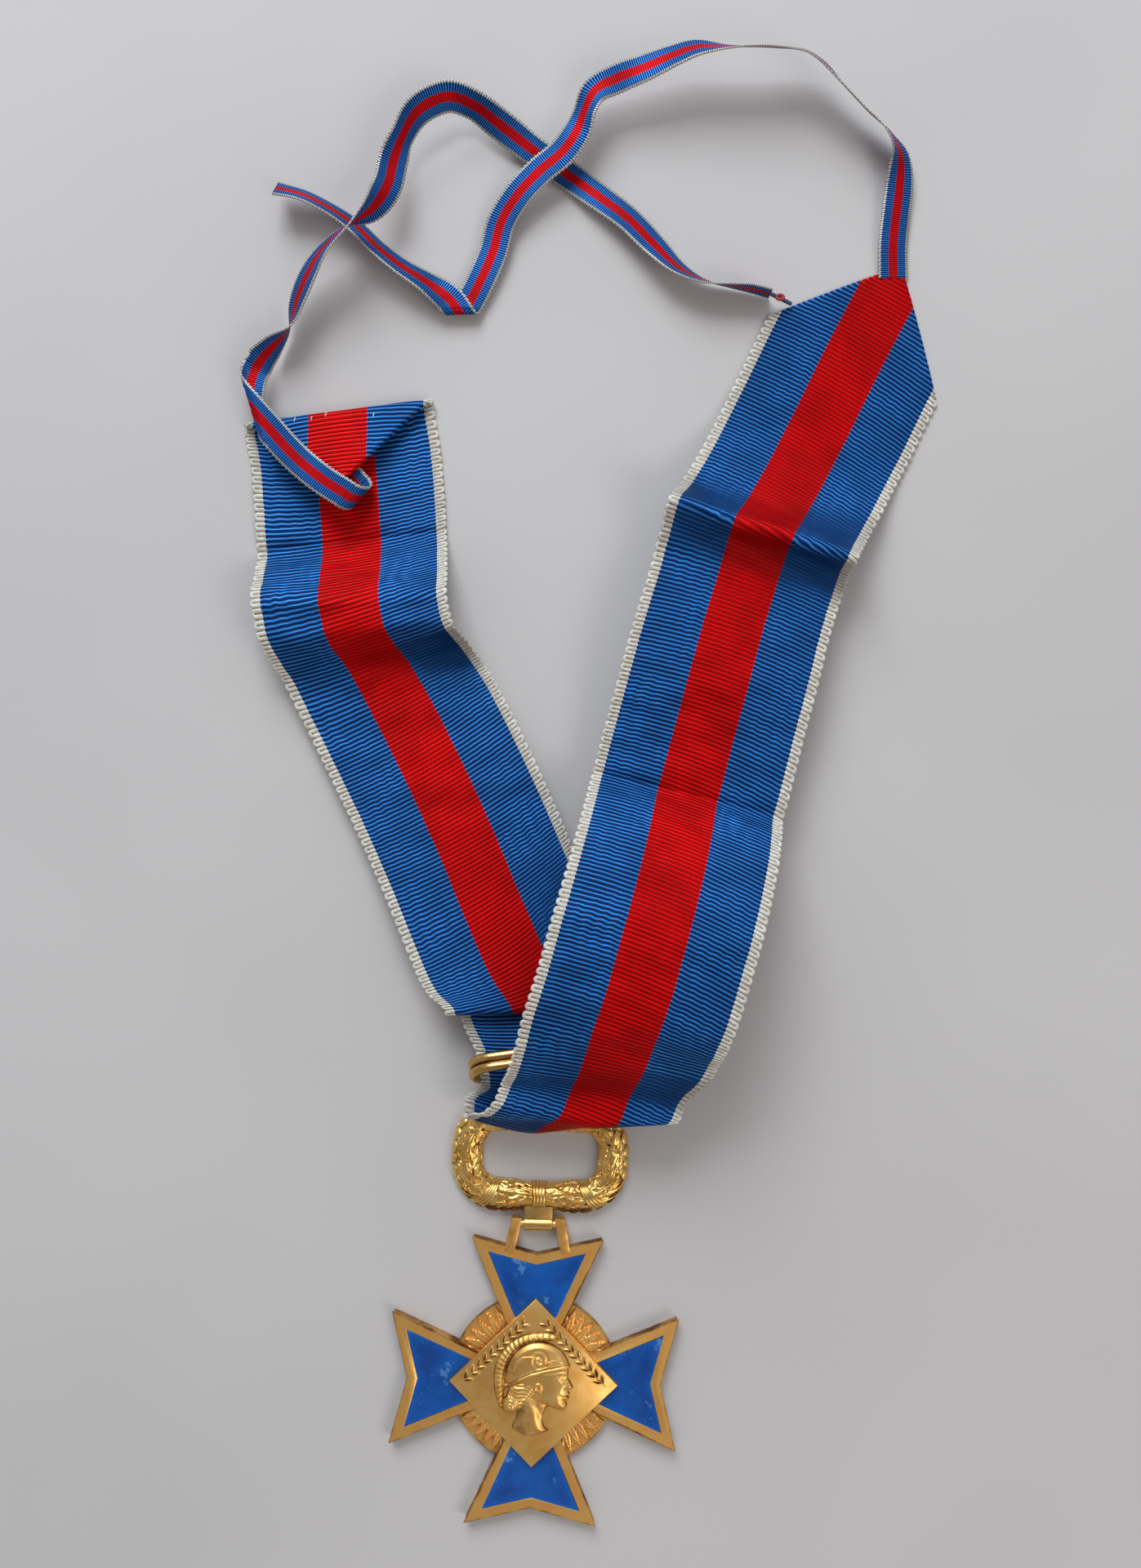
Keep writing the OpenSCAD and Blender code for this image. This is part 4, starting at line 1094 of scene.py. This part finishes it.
FACE = [
    (-2.5, 2.4), (2.0, 3.2), (6.3, 3.4), (6.75, 2.7), (6.78, 1.9), (6.72, 1.3), (7.15, 0.5), (7.75, -0.45),
    (7.72, -0.85), (7.05, -1.08), (6.88, -1.45), (7.18, -1.85), (7.10, -2.15), (6.78, -2.28), (7.0, -2.6),
    (6.92, -2.95), (6.5, -3.25), (6.62, -3.75), (6.62, -4.35), (6.15, -4.95), (5.2, -5.15), (3.6, -4.7),
    (2.2, -4.5), (0.5, -4.3), (-2.6, -3.2)]
NECK = [
    (-3.2, -1.6), (2.6, -3.4), (2.75, -4.6), (2.15, -5.9), (1.95, -7.2), (2.35, -8.5), (3.15, -9.3), (1.2, -9.95),
    (-0.8, -10.55), (-2.6, -9.9), (-4.0, -8.8), (-3.5, -7.4), (-3.15, -6.0), (-3.4, -4.0)]
HAIR = [
    (-1.2, 0.6), (0.6, 0.2), (0.9, -0.9), (0.0, -2.4), (-1.4, -3.6), (-2.6, -5.0), (-3.9, -5.9), (-5.4, -5.6),
    (-6.0, -4.3), (-5.5, -3.0), (-5.0, -1.6), (-4.9, -0.2)]
BOWL = [
    (6.95, 3.35), (6.7, 4.4), (5.9, 5.9), (4.5, 7.2), (2.6, 8.0), (0.4, 8.2), (-1.8, 7.6), (-3.7, 6.2), (-4.9, 4.3),
    (-5.4, 2.2), (-5.5, 0.2), (-6.2, -1.0), (-4.6, -0.9), (-3.0, 0.3), (-0.6, 1.5), (2.2, 2.3), (4.6, 2.8)]
CREST = [
    (3.6, 8.4), (4.6, 9.3), (3.4, 9.9), (0.8, 10.0), (-2.2, 9.4), (-4.9, 7.8), (-6.9, 5.3), (-7.8, 2.4), (-7.8, -0.6),
    (-7.2, -3.4), (-6.3, -5.2), (-5.9, -3.2), (-5.7, -0.8), (-5.6, 2.0), (-4.8, 4.4), (-3.6, 6.2), (-1.7, 7.6),
    (0.6, 8.2)]
RIM = [(7.0, 3.35), (4.6, 2.95), (2.2, 2.5), (-0.6, 1.7), (-3.0, 0.5), (-4.6, -0.65), (-6.1, -0.95)]
CREST_FOOT = [(3.6, 8.5), (0.5, 8.55), (-1.9, 7.9), (-4.0, 6.4), (-5.2, 4.4), (-5.9, 2.0), (-6.0, -0.8)]
MOUTH = [(7.0, -2.22), (5.85, -2.3)]
# Soft forms: a gain with a knoll's place, two radii and turn, or with a ridge's width and line
NECK_FORMS = [(0.16, 0.75, [(-1.2, -3.2), (0.3, -6.2), (1.4, -9.2)]), (-0.10, 0.45, [(0.2, -3.0), (1.5, -6.5)])]
FACE_FORMS = [
    (0.22, 3.9, -1.7, 2.4, 2.6), (0.14, 5.9, -4.25, 0.8, 0.75), (0.12, 6.1, 2.35, 1.5, 0.45, 8),
    (-0.34, 5.75, 1.15, 0.85, 0.62, -10), (0.24, 5.55, 1.05, 0.55, 0.34, -8), (0.16, 6.72, -0.72, 0.42, 0.36),
    (-0.12, 6.45, -3.25, 0.5, 0.3), (-0.10, 5.35, -2.3, 0.35, 0.45),
    (0.10, 0.14, [(4.75, 0.95), (5.4, 1.5), (6.2, 1.25)]), (0.07, 0.12, [(4.9, 0.8), (5.5, 0.68), (6.1, 0.9)]),
    (0.20, 0.42, [(6.75, 1.3), (7.3, -0.3)]), (-0.14, 0.16, [(6.3, -0.45), (6.25, -1.0), (6.6, -1.15)]),
    (0.13, 0.24, [(6.95, -1.85), (6.2, -2.05)]), (-0.20, 0.11, MOUTH), (0.14, 0.26, [(6.85, -2.62), (6.15, -2.6)])]
SCROLL_FORMS = [(0.12, 0.2, [(2.2, 4.4), (3.9, 5.0), (5.2, 4.7)]),
                (0.12, 0.2, [(-0.4, 5.6), (-2.2, 5.4), (-3.6, 4.2), (-4.3, 2.6)])]


def curve_through(points, steps=8):
    """Closed smooth outline through a few points."""
    here = np.array(points, float)[:, None]
    before, after, later = (np.roll(here, k, 0) for k in (1, -1, -2))
    t = (np.arange(steps) / steps)[:, None]
    curve = 0.5 * (2 * here + (after - before) * t + (2 * before - 5 * here + 4 * after - later) * t**2
                   + (3 * here - before - 3 * after + later) * t**3)
    return curve.reshape(-1, 2)


def distance_to(x, y, line):
    """Distance of each point to a line of straight lengths."""
    nearest = np.full(len(x), 1e9)
    for (ax, ay), (bx, by) in zip(line, line[1:]):
        ex, ey = bx - ax, by - ay
        t = np.clip(((x - ax) * ex + (y - ay) * ey) / (ex * ex + ey * ey), 0, 1)
        nearest = np.minimum(nearest, np.hypot(x - ax - t * ex, y - ay - t * ey))
    return nearest


def depth_inside(x, y, points):
    """How far each point lies inside the smooth outline through a few points; below zero outside."""
    outline = curve_through(points)
    outline = np.concatenate([outline, outline[:1]])
    inside = np.zeros(len(x), bool)
    for (ax, ay), (bx, by) in zip(outline, outline[1:]):
        inside ^= ((ay > y) != (by > y)) & (x < ax + (y - ay) / ((by - ay) or 1e-12) * (bx - ax))
    return distance_to(x, y, outline) * np.where(inside, 1, -1)


def knoll(x, y, cx, cy, rx, ry, turn=0):
    """Soft round rise of height 1."""
    c, s = math.cos(math.radians(turn)), math.sin(math.radians(turn))
    u, v = (x - cx) * c + (y - cy) * s, -(x - cx) * s + (y - cy) * c
    return np.exp(-((u / rx) ** 2 + (v / ry) ** 2))


def ridge(x, y, width, line):
    """Soft ridge of height 1 along a line of straight lengths."""
    return np.exp(-(distance_to(x, y, line) / width) ** 2)


def forms(x, y, rows):
    """Sum of the soft forms in a table."""
    return sum(row[0] * (ridge if isinstance(row[-1], list) else knoll)(x, y, *row[1:]) for row in rows)


def swell(depth, reach):
    """Rounded rise from an outline inwards, 0 at the line and 1 at the reach."""
    return np.clip(depth / reach, 0, 1) ** 0.55


def raised(low, where, high):
    return np.where(where, np.maximum(low, high), low)


def head_height(x, y):
    """Height of the relief over the plaque, and how dark it is painted: its hollows, and painted shade away from the
    lit middles of the helmet and neck.
    """
    face, neck, hair, bowl, crest = (depth_inside(x, y, points) for points in (FACE, NECK, HAIR, BOWL, CREST))
    h = np.where(neck > -0.3, 0.62 * swell(neck, 1.7) - 0.4 * np.clip(-neck, 0, 1), -0.4)
    h += (neck > 0) * forms(x, y, NECK_FORMS)

    jaw = ridge(x, y, 0.5, [(5.4, -4.75), (3.4, -4.1), (1.6, -2.9), (1.2, -1.2)])
    under = (y < np.interp(x, [0.8, 1.6, 3.4, 5.4], [-1.2, -2.9, -4.1, -4.8])) & (x < 5.4)
    h = raised(h, face > -0.05, 0.78 * swell(face, 1.5) + forms(x, y, FACE_FORMS) - 0.34 * under * (1 - jaw))
    dark = (face > -0.05) * forms(x, y, [(0.5, 5.9, 1.25, 0.55, 0.3), (0.7, 0.12, MOUTH)])

    # Hair drawn back in waves to a low knot
    strands = ripple((x * 0.55 + y + 0.5 * np.sin(x * 1.3)) * TURN / 0.75)
    bun = np.hypot(x + 4.6, y + 4.3)
    spiral = ripple(bun * TURN / 0.62 + np.arctan2(y + 4.3, x + 4.6))
    coil = np.clip(1 - (bun / 1.75) ** 2, 0, 1)
    waves = 0.80 * swell(hair, 1.1) + 0.14 * strands * (hair > 0.1) * (bun > 1.6) + coil**0.5 * (0.42 + 0.14 * spiral)
    h = raised(h, (hair > 0) | (bun < 1.7), waves)
    dark = raised(dark, hair > 0, 0.6 * (1 - np.where(bun < 1.6, spiral, strands)))

    # Helmet: bowl, rim with two beads and a groove, scroll on its side
    def along_rim(lift, width):
        return ridge(x, y, width, [(a, b + lift) for a, b in RIM])
    rho = np.hypot((x - 0.7) / 6.6, (y - 2.6) / 5.9)
    turn, far = np.arctan2(y - 5.0, x - 1.0), np.hypot(x - 1.0, y - 5.0)
    scroll = np.cos(far * TURN / 1.1 - turn) * np.exp(-(far / 1.5) ** 2)
    dome = 0.50 * swell(bowl, 0.9) + 1.05 * np.sqrt(np.clip(1 - rho * rho, 0, 1))
    dome += 0.20 * along_rim(0.28, 0.30) - 0.16 * along_rim(0.78, 0.14) + 0.10 * along_rim(1.12, 0.16)
    h = raised(h, bowl > -0.02, dome + 0.12 * scroll + forms(x, y, SCROLL_FORMS))
    dark = raised(dark, bowl > 0, 0.8 * along_rim(0.76, 0.16) + 0.35 * np.clip(-scroll, 0, 1))

    # Crest of upright hair, combed across its length, and the ear
    comb = ripple(np.arctan2(y - 1.4, x + 0.4) * 46)
    brush = 0.72 * swell(crest, 0.9) + 0.13 * comb * (crest > 0.15) - 0.2 * ridge(x, y, 0.13, CREST_FOOT)
    h = raised(h, crest > 0, brush)
    dark = raised(dark, crest > 0, 0.65 * (1 - comb))
    ear = np.hypot((x - 0.9) / 0.75, (y + 0.75) / 1.05)
    h += np.where(ear < 1.3, 0.22 * np.exp(-((ear - 0.75) / 0.25) ** 2), 0)

    # Painted shade: helmet and neck darken away from their lit middles. All of it also darkens along its outline
    dark = raised(dark, bowl > 0, 0.66 * (1 - knoll(x, y, 2.4, 5.4, 4.6, 3.4)))
    dark = raised(dark, (neck > 0) & (face < 0) & (hair < 0), 0.7 * (1 - knoll(x, y, 0.9, -7.2, 1.3, 3.0)))
    depth = np.maximum.reduce([face, neck, hair, bowl, crest, 1.7 - bun])
    dark = np.maximum(dark, np.exp(-(depth / 0.3) ** 2) * 0.9)
    return np.where(depth > 0, np.maximum(h, 0.03 + 0.25 * np.clip(depth, 0, 0.3)), -0.12), dark


LEAF_LONG, LEAF_WIDE, LEAF_THICK, LEAF_SLANT = 2.3, 1.15, 0.34, 34
SPRIG_LONG, SPRIG_STEP = 18.6, 1.8


def sprig_leaf(p, q):
    """Small leaf with a groove down its middle and its tip lifted: along, aside, height and hollowness."""
    v = 2 * q - 1
    half = LEAF_WIDE / 2 * np.sin(np.pi * np.clip(p, 0, 1) ** 0.85) ** 0.7
    crown = np.sin(np.pi * np.clip(p, 0.02, 0.98) ** 0.7) ** 0.5
    groove = np.exp(-(v / 0.17) ** 2)
    vein = np.cos(TURN * 0.9 * v) * (1 - groove) * (np.abs(v) < 0.95)
    body = crown * np.clip(1 - v * v, 0, 1) ** 0.6
    h = LEAF_THICK * (body * (1 - 0.38 * groove) + 0.10 * vein * body) + 0.1 * p * body - 0.25 * (1 - body)
    recess = np.clip(0.75 * groove * crown + np.abs(v) ** 5 + 0.15 * (1 - vein) + (1 - p) * 0.4, 0, 1)
    return LEAF_LONG * p, half * v, h * 0.9, recess


def laurel_sprig(bm, side):
    """Sprig along an upper edge of the plaque, from the side corner to near the top."""
    way, inward = np.array([-side, 1.0]) / math.sqrt(2), np.array([-side, -1.0]) / math.sqrt(2)
    start = np.array([side * (PLAQUE_HALF - 1.9), 0.4]) + inward * 0.9

    def stem(p, q):
        along, out = p[:, None] * SPRIG_LONG, 0.11 * np.sin(TURN * q)[:, None]
        x, y = (start + way * along + inward * out).T
        return x, y, PLAQUE_TOP + 0.08 + 0.12 * np.cos(TURN * q), np.full(len(p), 0.5)
    shaped_grid(bm, 20, 6, stem, True)
    for k in range(10):
        for lean in (-1, 1):
            spot = start + way * (0.7 + SPRIG_STEP * k + (0.3 if lean > 0 else 0))
            turn = math.atan2(way[1], way[0]) + lean * math.radians(LEAF_SLANT)
            c, s = math.cos(turn), math.sin(turn)

            def blade(p, q):
                along, aside, h, recess = sprig_leaf(p, q)
                return spot[0] + along * c - aside * s, spot[1] + along * s + aside * c, PLAQUE_TOP + h, recess
            shaped_grid(bm, 7, 4, blade)


RELIEF_SIZE, RELIEF_UP, RELIEF_GAIN = 1.05, 0.2, 1.2


def make_plaque(gold):
    bm, _ = metal_bm()
    half = PLAQUE_HALF
    plate(bm, [(0, -half), (half, 0), (0, half), (-half, 0)], PLAQUE_TOP - PLAQUE_T, PLAQUE_TOP, 0.16, 0.25)

    def relief(p, q):
        x, y = -9.2 + 18.4 * p, -11.4 + 22.2 * q
        h, dark = head_height(x, y)
        return x * RELIEF_SIZE, y * RELIEF_SIZE + RELIEF_UP, PLAQUE_TOP + RELIEF_GAIN * h, dark
    made = shaped_grid(bm, 150, 182, relief)
    met = each_once(f for v in made for f in v.link_faces)
    sunk = [f for f in met if all(v.co.z < PLAQUE_TOP - 0.05 for v in f.verts)]
    bmesh.ops.delete(bm, geom=sunk, context="FACES")
    for side in (-1, 1):
        laurel_sprig(bm, side)
    metal_piece(bm, "plaque_relief", CROSS_BODY, gold, "centre_plaque", 75)


# Finishes

WHITE_SILK = (0.72, 0.70, 0.64, 1)
WAVE_PITCH, THREAD_PITCH = 0.0028, 0.00021


def new_group(name, takes, gives):
    """A shader node group with its tree, what it is given and what it puts out, named by the kind of socket."""
    tree = bpy.data.node_groups.new(name, "ShaderNodeTree")
    for way, kinds in (("INPUT", takes), ("OUTPUT", gives)):
        for kind, names in kinds.items():
            for each in names.split(", "):
                tree.interface.new_socket(name=each, in_out=way, socket_type="NodeSocket" + kind)
    return tree, tree.nodes.new("NodeGroupInput").outputs, tree.nodes.new("NodeGroupOutput").inputs


def use_group(tree, group, values):
    return node(tree, "Group", values, node_tree=group).outputs


def weave_group():
    """Ribs of a rep ribbon by the place across and along, in metres: their height, the ridge mask that the cloth uses
    for painted highlights on the crowns and painted shade in the grooves, and a slow tone.
    """
    tree, given, out = new_group("rep_weave", {"Float": "Across, Along, Pitch, Wave"},
                                 {"Float": "Ridge, Height, Shimmer"})
    place = node(tree, "CombineXYZ", {"X": given["Across"], "Y": given["Along"]}).outputs[0]
    stretched = node(tree, "Mapping", {"Vector": place, "Scale": (1.0, 0.35, 1)}).outputs[0]
    drift, slow = speckle(tree, stretched, 420, 1.5, 0.5), speckle(tree, place, 90, 2.0, 0.5)
    phase = plus(tree, times(tree, given["Across"], TURN / WAVE_PITCH), times(tree, slow, 16.0))
    swing = times(tree, calc(tree, "SINE", phase), spread(tree, slow, 0.42, 0.62))
    wave = times(tree, given["Wave"], plus(tree, times(tree, swing, 0.8), about_zero(tree, drift, 1.6)))
    turns = calc(tree, "DIVIDE", plus(tree, given["Along"], wave), given["Pitch"])
    rib = plus(tree, times(tree, calc(tree, "COSINE", times(tree, turns, TURN)), 0.5), 0.5)
    thread = calc(tree, "SINE", times(tree, given["Across"], TURN / THREAD_PITCH))
    feed(tree, out["Ridge"], calc(tree, "POWER", rib, 2.4))
    feed(tree, out["Height"], plus(tree, rib, times(tree, thread, 0.015)))
    feed(tree, out["Shimmer"], spread(tree, slow, 0.3, 0.7))
    return tree


def stripe_group():
    """Red middle, blue fields and white edges, with the small steps that the ribs give their borders."""
    tree, given, out = new_group(
        "ribbon_stripes", {"Float": "Across, Along, Pitch, Red Edge, Blue Edge", "Color": "Red, Blue, White"},
        {"Color": "Color", "Float": "In Red, In White"})
    rib = times(tree, calc(tree, "DIVIDE", given["Along"], given["Pitch"]), TURN)
    step = times(tree, calc(tree, "COSINE", rib), 0.00006)
    aside = plus(tree, calc(tree, "ABSOLUTE", given["Across"]), step)
    in_red = calc(tree, "LESS_THAN", aside, given["Red Edge"])
    in_white = calc(tree, "GREATER_THAN", aside, given["Blue Edge"])
    inner = mixed(tree, in_red, given["Blue"], given["Red"])
    feed(tree, out["Color"], mixed(tree, in_white, inner, given["White"]))
    feed(tree, out["In Red"], in_red)
    feed(tree, out["In White"], in_white)
    return tree


def ribbon_cloth(name, groups, pitch, red_edge, blue_edge, blue, red, wave, bump):
    made, tree = material(name)
    weave, stripes = groups
    axes = node(tree, "SeparateXYZ", [node(tree, "UVMap", uv_map="cloth").outputs[0]]).outputs
    place = {"Across": axes[0], "Along": axes[1], "Pitch": pitch}
    look = use_group(tree, stripes, {**place, "Red Edge": red_edge, "Blue Edge": blue_edge, "Red": red, "Blue": blue,
                                     "White": WHITE_SILK})
    waving = times(tree, calc(tree, "SUBTRACT", 1.0, times(tree, look["In Red"], 0.8)), wave)
    ribs = use_group(tree, weave, {**place, "Wave": waving})
    # Painted shade and highlight of the ribs: the colour runs from a darker groove colour between the ribs to the full
    # colour on their crowns
    shade = mixed(tree, look["In Red"], (0.05, 0.075, 0.15, 1), (0.42, 0.2, 0.2, 1))
    shade = mixed(tree, look["In White"], shade, (0.45, 0.44, 0.42, 1))
    groove = mixed(tree, 1.0, look["Color"], shade, "MULTIPLY")
    lit = mixed(tree, ribs["Ridge"], groove, look["Color"])
    # Painted shade: where the cloth's painted shade measure is set, the colour goes over to a darker, even mix and the
    # ribs' bump is lowered
    painted_shade = painted(tree, "painted_shade")
    shaded_colour = mixed(tree, 1.0, mixed(tree, 0.14, groove, look["Color"]), (0.8, 0.8, 0.8, 1), "MULTIPLY")
    tone = spread(tree, ribs["Shimmer"], 0, 1, 0.84, 1.14, False)
    height = times(tree, ribs["Height"], spread(tree, painted_shade, 0, 1, 1.0, 0.3, False))
    finish_off(tree, {
        "Base Color": node(tree, "HueSaturation", {"Value": tone, "Color": mixed(tree, painted_shade, lit, shaded_colour)}).outputs[0],
        "Roughness": spread(tree, ribs["Ridge"], 0, 1, 0.62, 0.36, False), "Metallic": 0.35,
        "Specular IOR Level": 0.10, "Normal": bumped(tree, height, bump)})
    return made


def sewing_thread(name, dark, light):
    made, tree = material(name)
    place = object_place(tree)
    clean = mixed(tree, spread(tree, speckle(tree, place, 900, 2), 0.3, 0.7), (*dark, 1), (*light, 1))
    # Painted shade on the edge threads where the cloth's painted shade measure is set; the stitches and knot carry none
    finish_off(tree, {"Base Color": mixed(tree, times(tree, painted(tree, "painted_shade"), 0.5), clean, (0.16, 0.13, 0.11, 1)),
                      "Roughness": 0.55, "Sheen Weight": 0.2,
                      "Normal": bumped(tree, speckle(tree, place, 6000, 2), 0.00004)})
    return made


def gilt_group():
    """Rubbed gilding: a bright skin that turns to a deeper tone in patches, and brown in the hollows, which stands for
    dirt there and, on some parts, for painted shade carried by the hollow measure.
    """
    tree, given, out = new_group(
        "gilding_wear_and_shade", {"Vector": "Place", "Float": "Hollow, Gloss", "Color": "Bright, Deep, Grime"},
        {"Color": "Color", "Float": "Roughness, Height"})
    patch = speckle(tree, given["Place"], 260, 5.0, 0.6)
    skin = mixed(tree, spread(tree, patch, 0.34, 0.68), given["Bright"], given["Deep"])
    grime_and_shade = spread(tree, plus(tree, given["Hollow"], about_zero(tree, patch, 0.9)), 0.42, 1.0)
    rough = plus(tree, given["Gloss"], about_zero(tree, patch, 0.25))
    fine = speckle(tree, given["Place"], 2600, 3, 0.6)
    feed(tree, out["Color"], mixed(tree, grime_and_shade, skin, given["Grime"]))
    feed(tree, out["Roughness"], spread(tree, grime_and_shade, 0, 1, rough, 0.62, False))
    feed(tree, out["Height"], plus(tree, times(tree, fine, 0.5), times(tree, patch, 0.5)))
    return tree


def gilt(name, group, bright, deep, grime_and_shade, gloss, bump=0.00004, metal=1.0):
    made, tree = material(name)
    look = use_group(tree, group, {
        "Place": object_place(tree), "Hollow": painted(tree, "recess"), "Bright": (*bright, 1), "Deep": (*deep, 1),
        "Grime": (*grime_and_shade, 1), "Gloss": gloss})
    finish_off(tree, {"Base Color": look["Color"], "Roughness": look["Roughness"], "Metallic": metal,
                      "Normal": bumped(tree, look["Height"], bump)})
    return made


def enamel_blue():
    """Deep translucent blue over an engraved ground, paler at its edges, with a few matt, rubbed spots."""
    made, tree = material("blue_enamel")
    place = object_place(tree)
    cloud = speckle(tree, place, 105, 4, 0.6, 0.013)
    ground = node(tree, "TexWave", {"Vector": place, "Scale": 900, "Distortion": 2.5, "Detail": 1.0,
                                    "Detail Scale": 0.6}, bands_direction="DIAGONAL").outputs[1]
    tone = plus(tree, times(tree, cloud, 0.8), times(tree, painted(tree, "recess"), 0.30))
    deep = mixed(tree, spread(tree, tone, 0.25, 0.70), (0.0003, 0.026, 0.19, 1), (0.0008, 0.105, 0.46, 1))
    lined = mixed(tree, times(tree, ground, 0.10), deep, (0.003, 0.15, 0.50, 1))
    spots = spread(tree, speckle(tree, place, 170, 4, 0.62, 0.043), 0.59, 0.66)
    finish_off(tree, {"Base Color": mixed(tree, times(tree, spots, 0.60), lined, (0.11, 0.30, 0.62, 1)),
                      "Roughness": spread(tree, spots, 0, 1, 0.13, 0.38), "Coat Weight": 0.5,
                      "Coat Roughness": 0.06, "Normal": bumped(tree, cloud, 0.00005)})
    return made


# Build

make_camera()
make_table()
make_light()
groups = (weave_group(), stripe_group())
neck_cloth = ribbon_cloth("neck_ribbon_silk", groups, RIB_PITCH * MM, RED_EDGE * MM, BLUE_EDGE * MM,
                          (0.038, 0.26, 0.72, 1), (0.84, 0.004, 0.006, 1), 0.00010, 0.00022)
tie_cloth = ribbon_cloth("tie_ribbon_silk", groups, TIE_RIB * MM, 0.95 * MM, 2.6 * MM,
                         (0.040, 0.24, 0.72, 1), (0.76, 0.005, 0.012, 1), 0.00002, 0.00009)
left_fold = FoldedRoute(tie_run(TIE_LEFT_OVER), tie_run(TIE_LEFT_UNDER, True), 6.5, (-0.31, 0.95, 0))
left_route = FoldedRoute(tie_run(TIE_LEFT_START, True), left_fold, 3.0, (0.643, 0.766, 0), 0.5)
right_route = FoldedRoute(tie_run(TIE_RIGHT_UNDER), tie_run(TIE_RIGHT_OVER, True), 3.2, (0.998, 0.066, 0))
make_tie("tie_ribbon_left", left_route, tie_cloth, "tie_left")
make_tie("tie_ribbon_right", right_route, tie_cloth, "tie_right")
ribbon = make_neck_ribbon(neck_cloth)
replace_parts(ribbon, "neck_ribbon")
thread = sewing_thread("white_edge_thread", (0.56, 0.53, 0.46), (0.76, 0.74, 0.67))
stitches = make_stitches(thread)
make_tie_knot(sewing_thread("red_thread", (0.30, 0.01, 0.02), (0.50, 0.02, 0.03)),
              sewing_thread("blue_thread", (0.01, 0.03, 0.10), (0.03, 0.09, 0.24)))
edges = [make_ribbon_edge("neck_ribbon_edge_left", -1, thread), make_ribbon_edge("neck_ribbon_edge_right", 1, thread)]

wear_and_shade = gilt_group()
brown = (0.10, 0.045, 0.012)
make_wreath(gilt("wreath_gilding", wear_and_shade, (0.95, 0.65, 0.22), (0.84, 0.48, 0.12), (0.17, 0.07, 0.016), 0.32))
make_cross(gilt("cross_gilding", wear_and_shade, (1.0, 0.60, 0.18), (0.92, 0.46, 0.12), (0.10, 0.038, 0.010), 0.38, metal=0.84))
make_plaque(gilt("plaque_gilding", wear_and_shade, (1.0, 0.62, 0.20), (0.86, 0.46, 0.12), brown, 0.38, 0.00003, 0.9))
blue = enamel_blue()
for quarter, name in enumerate(("top", "right", "bottom", "left")):
    make_enamel(name, quarter, blue)
make_ring(gilt("ring_gilding", wear_and_shade, (0.74, 0.46, 0.17), (0.56, 0.32, 0.10), brown, 0.28))
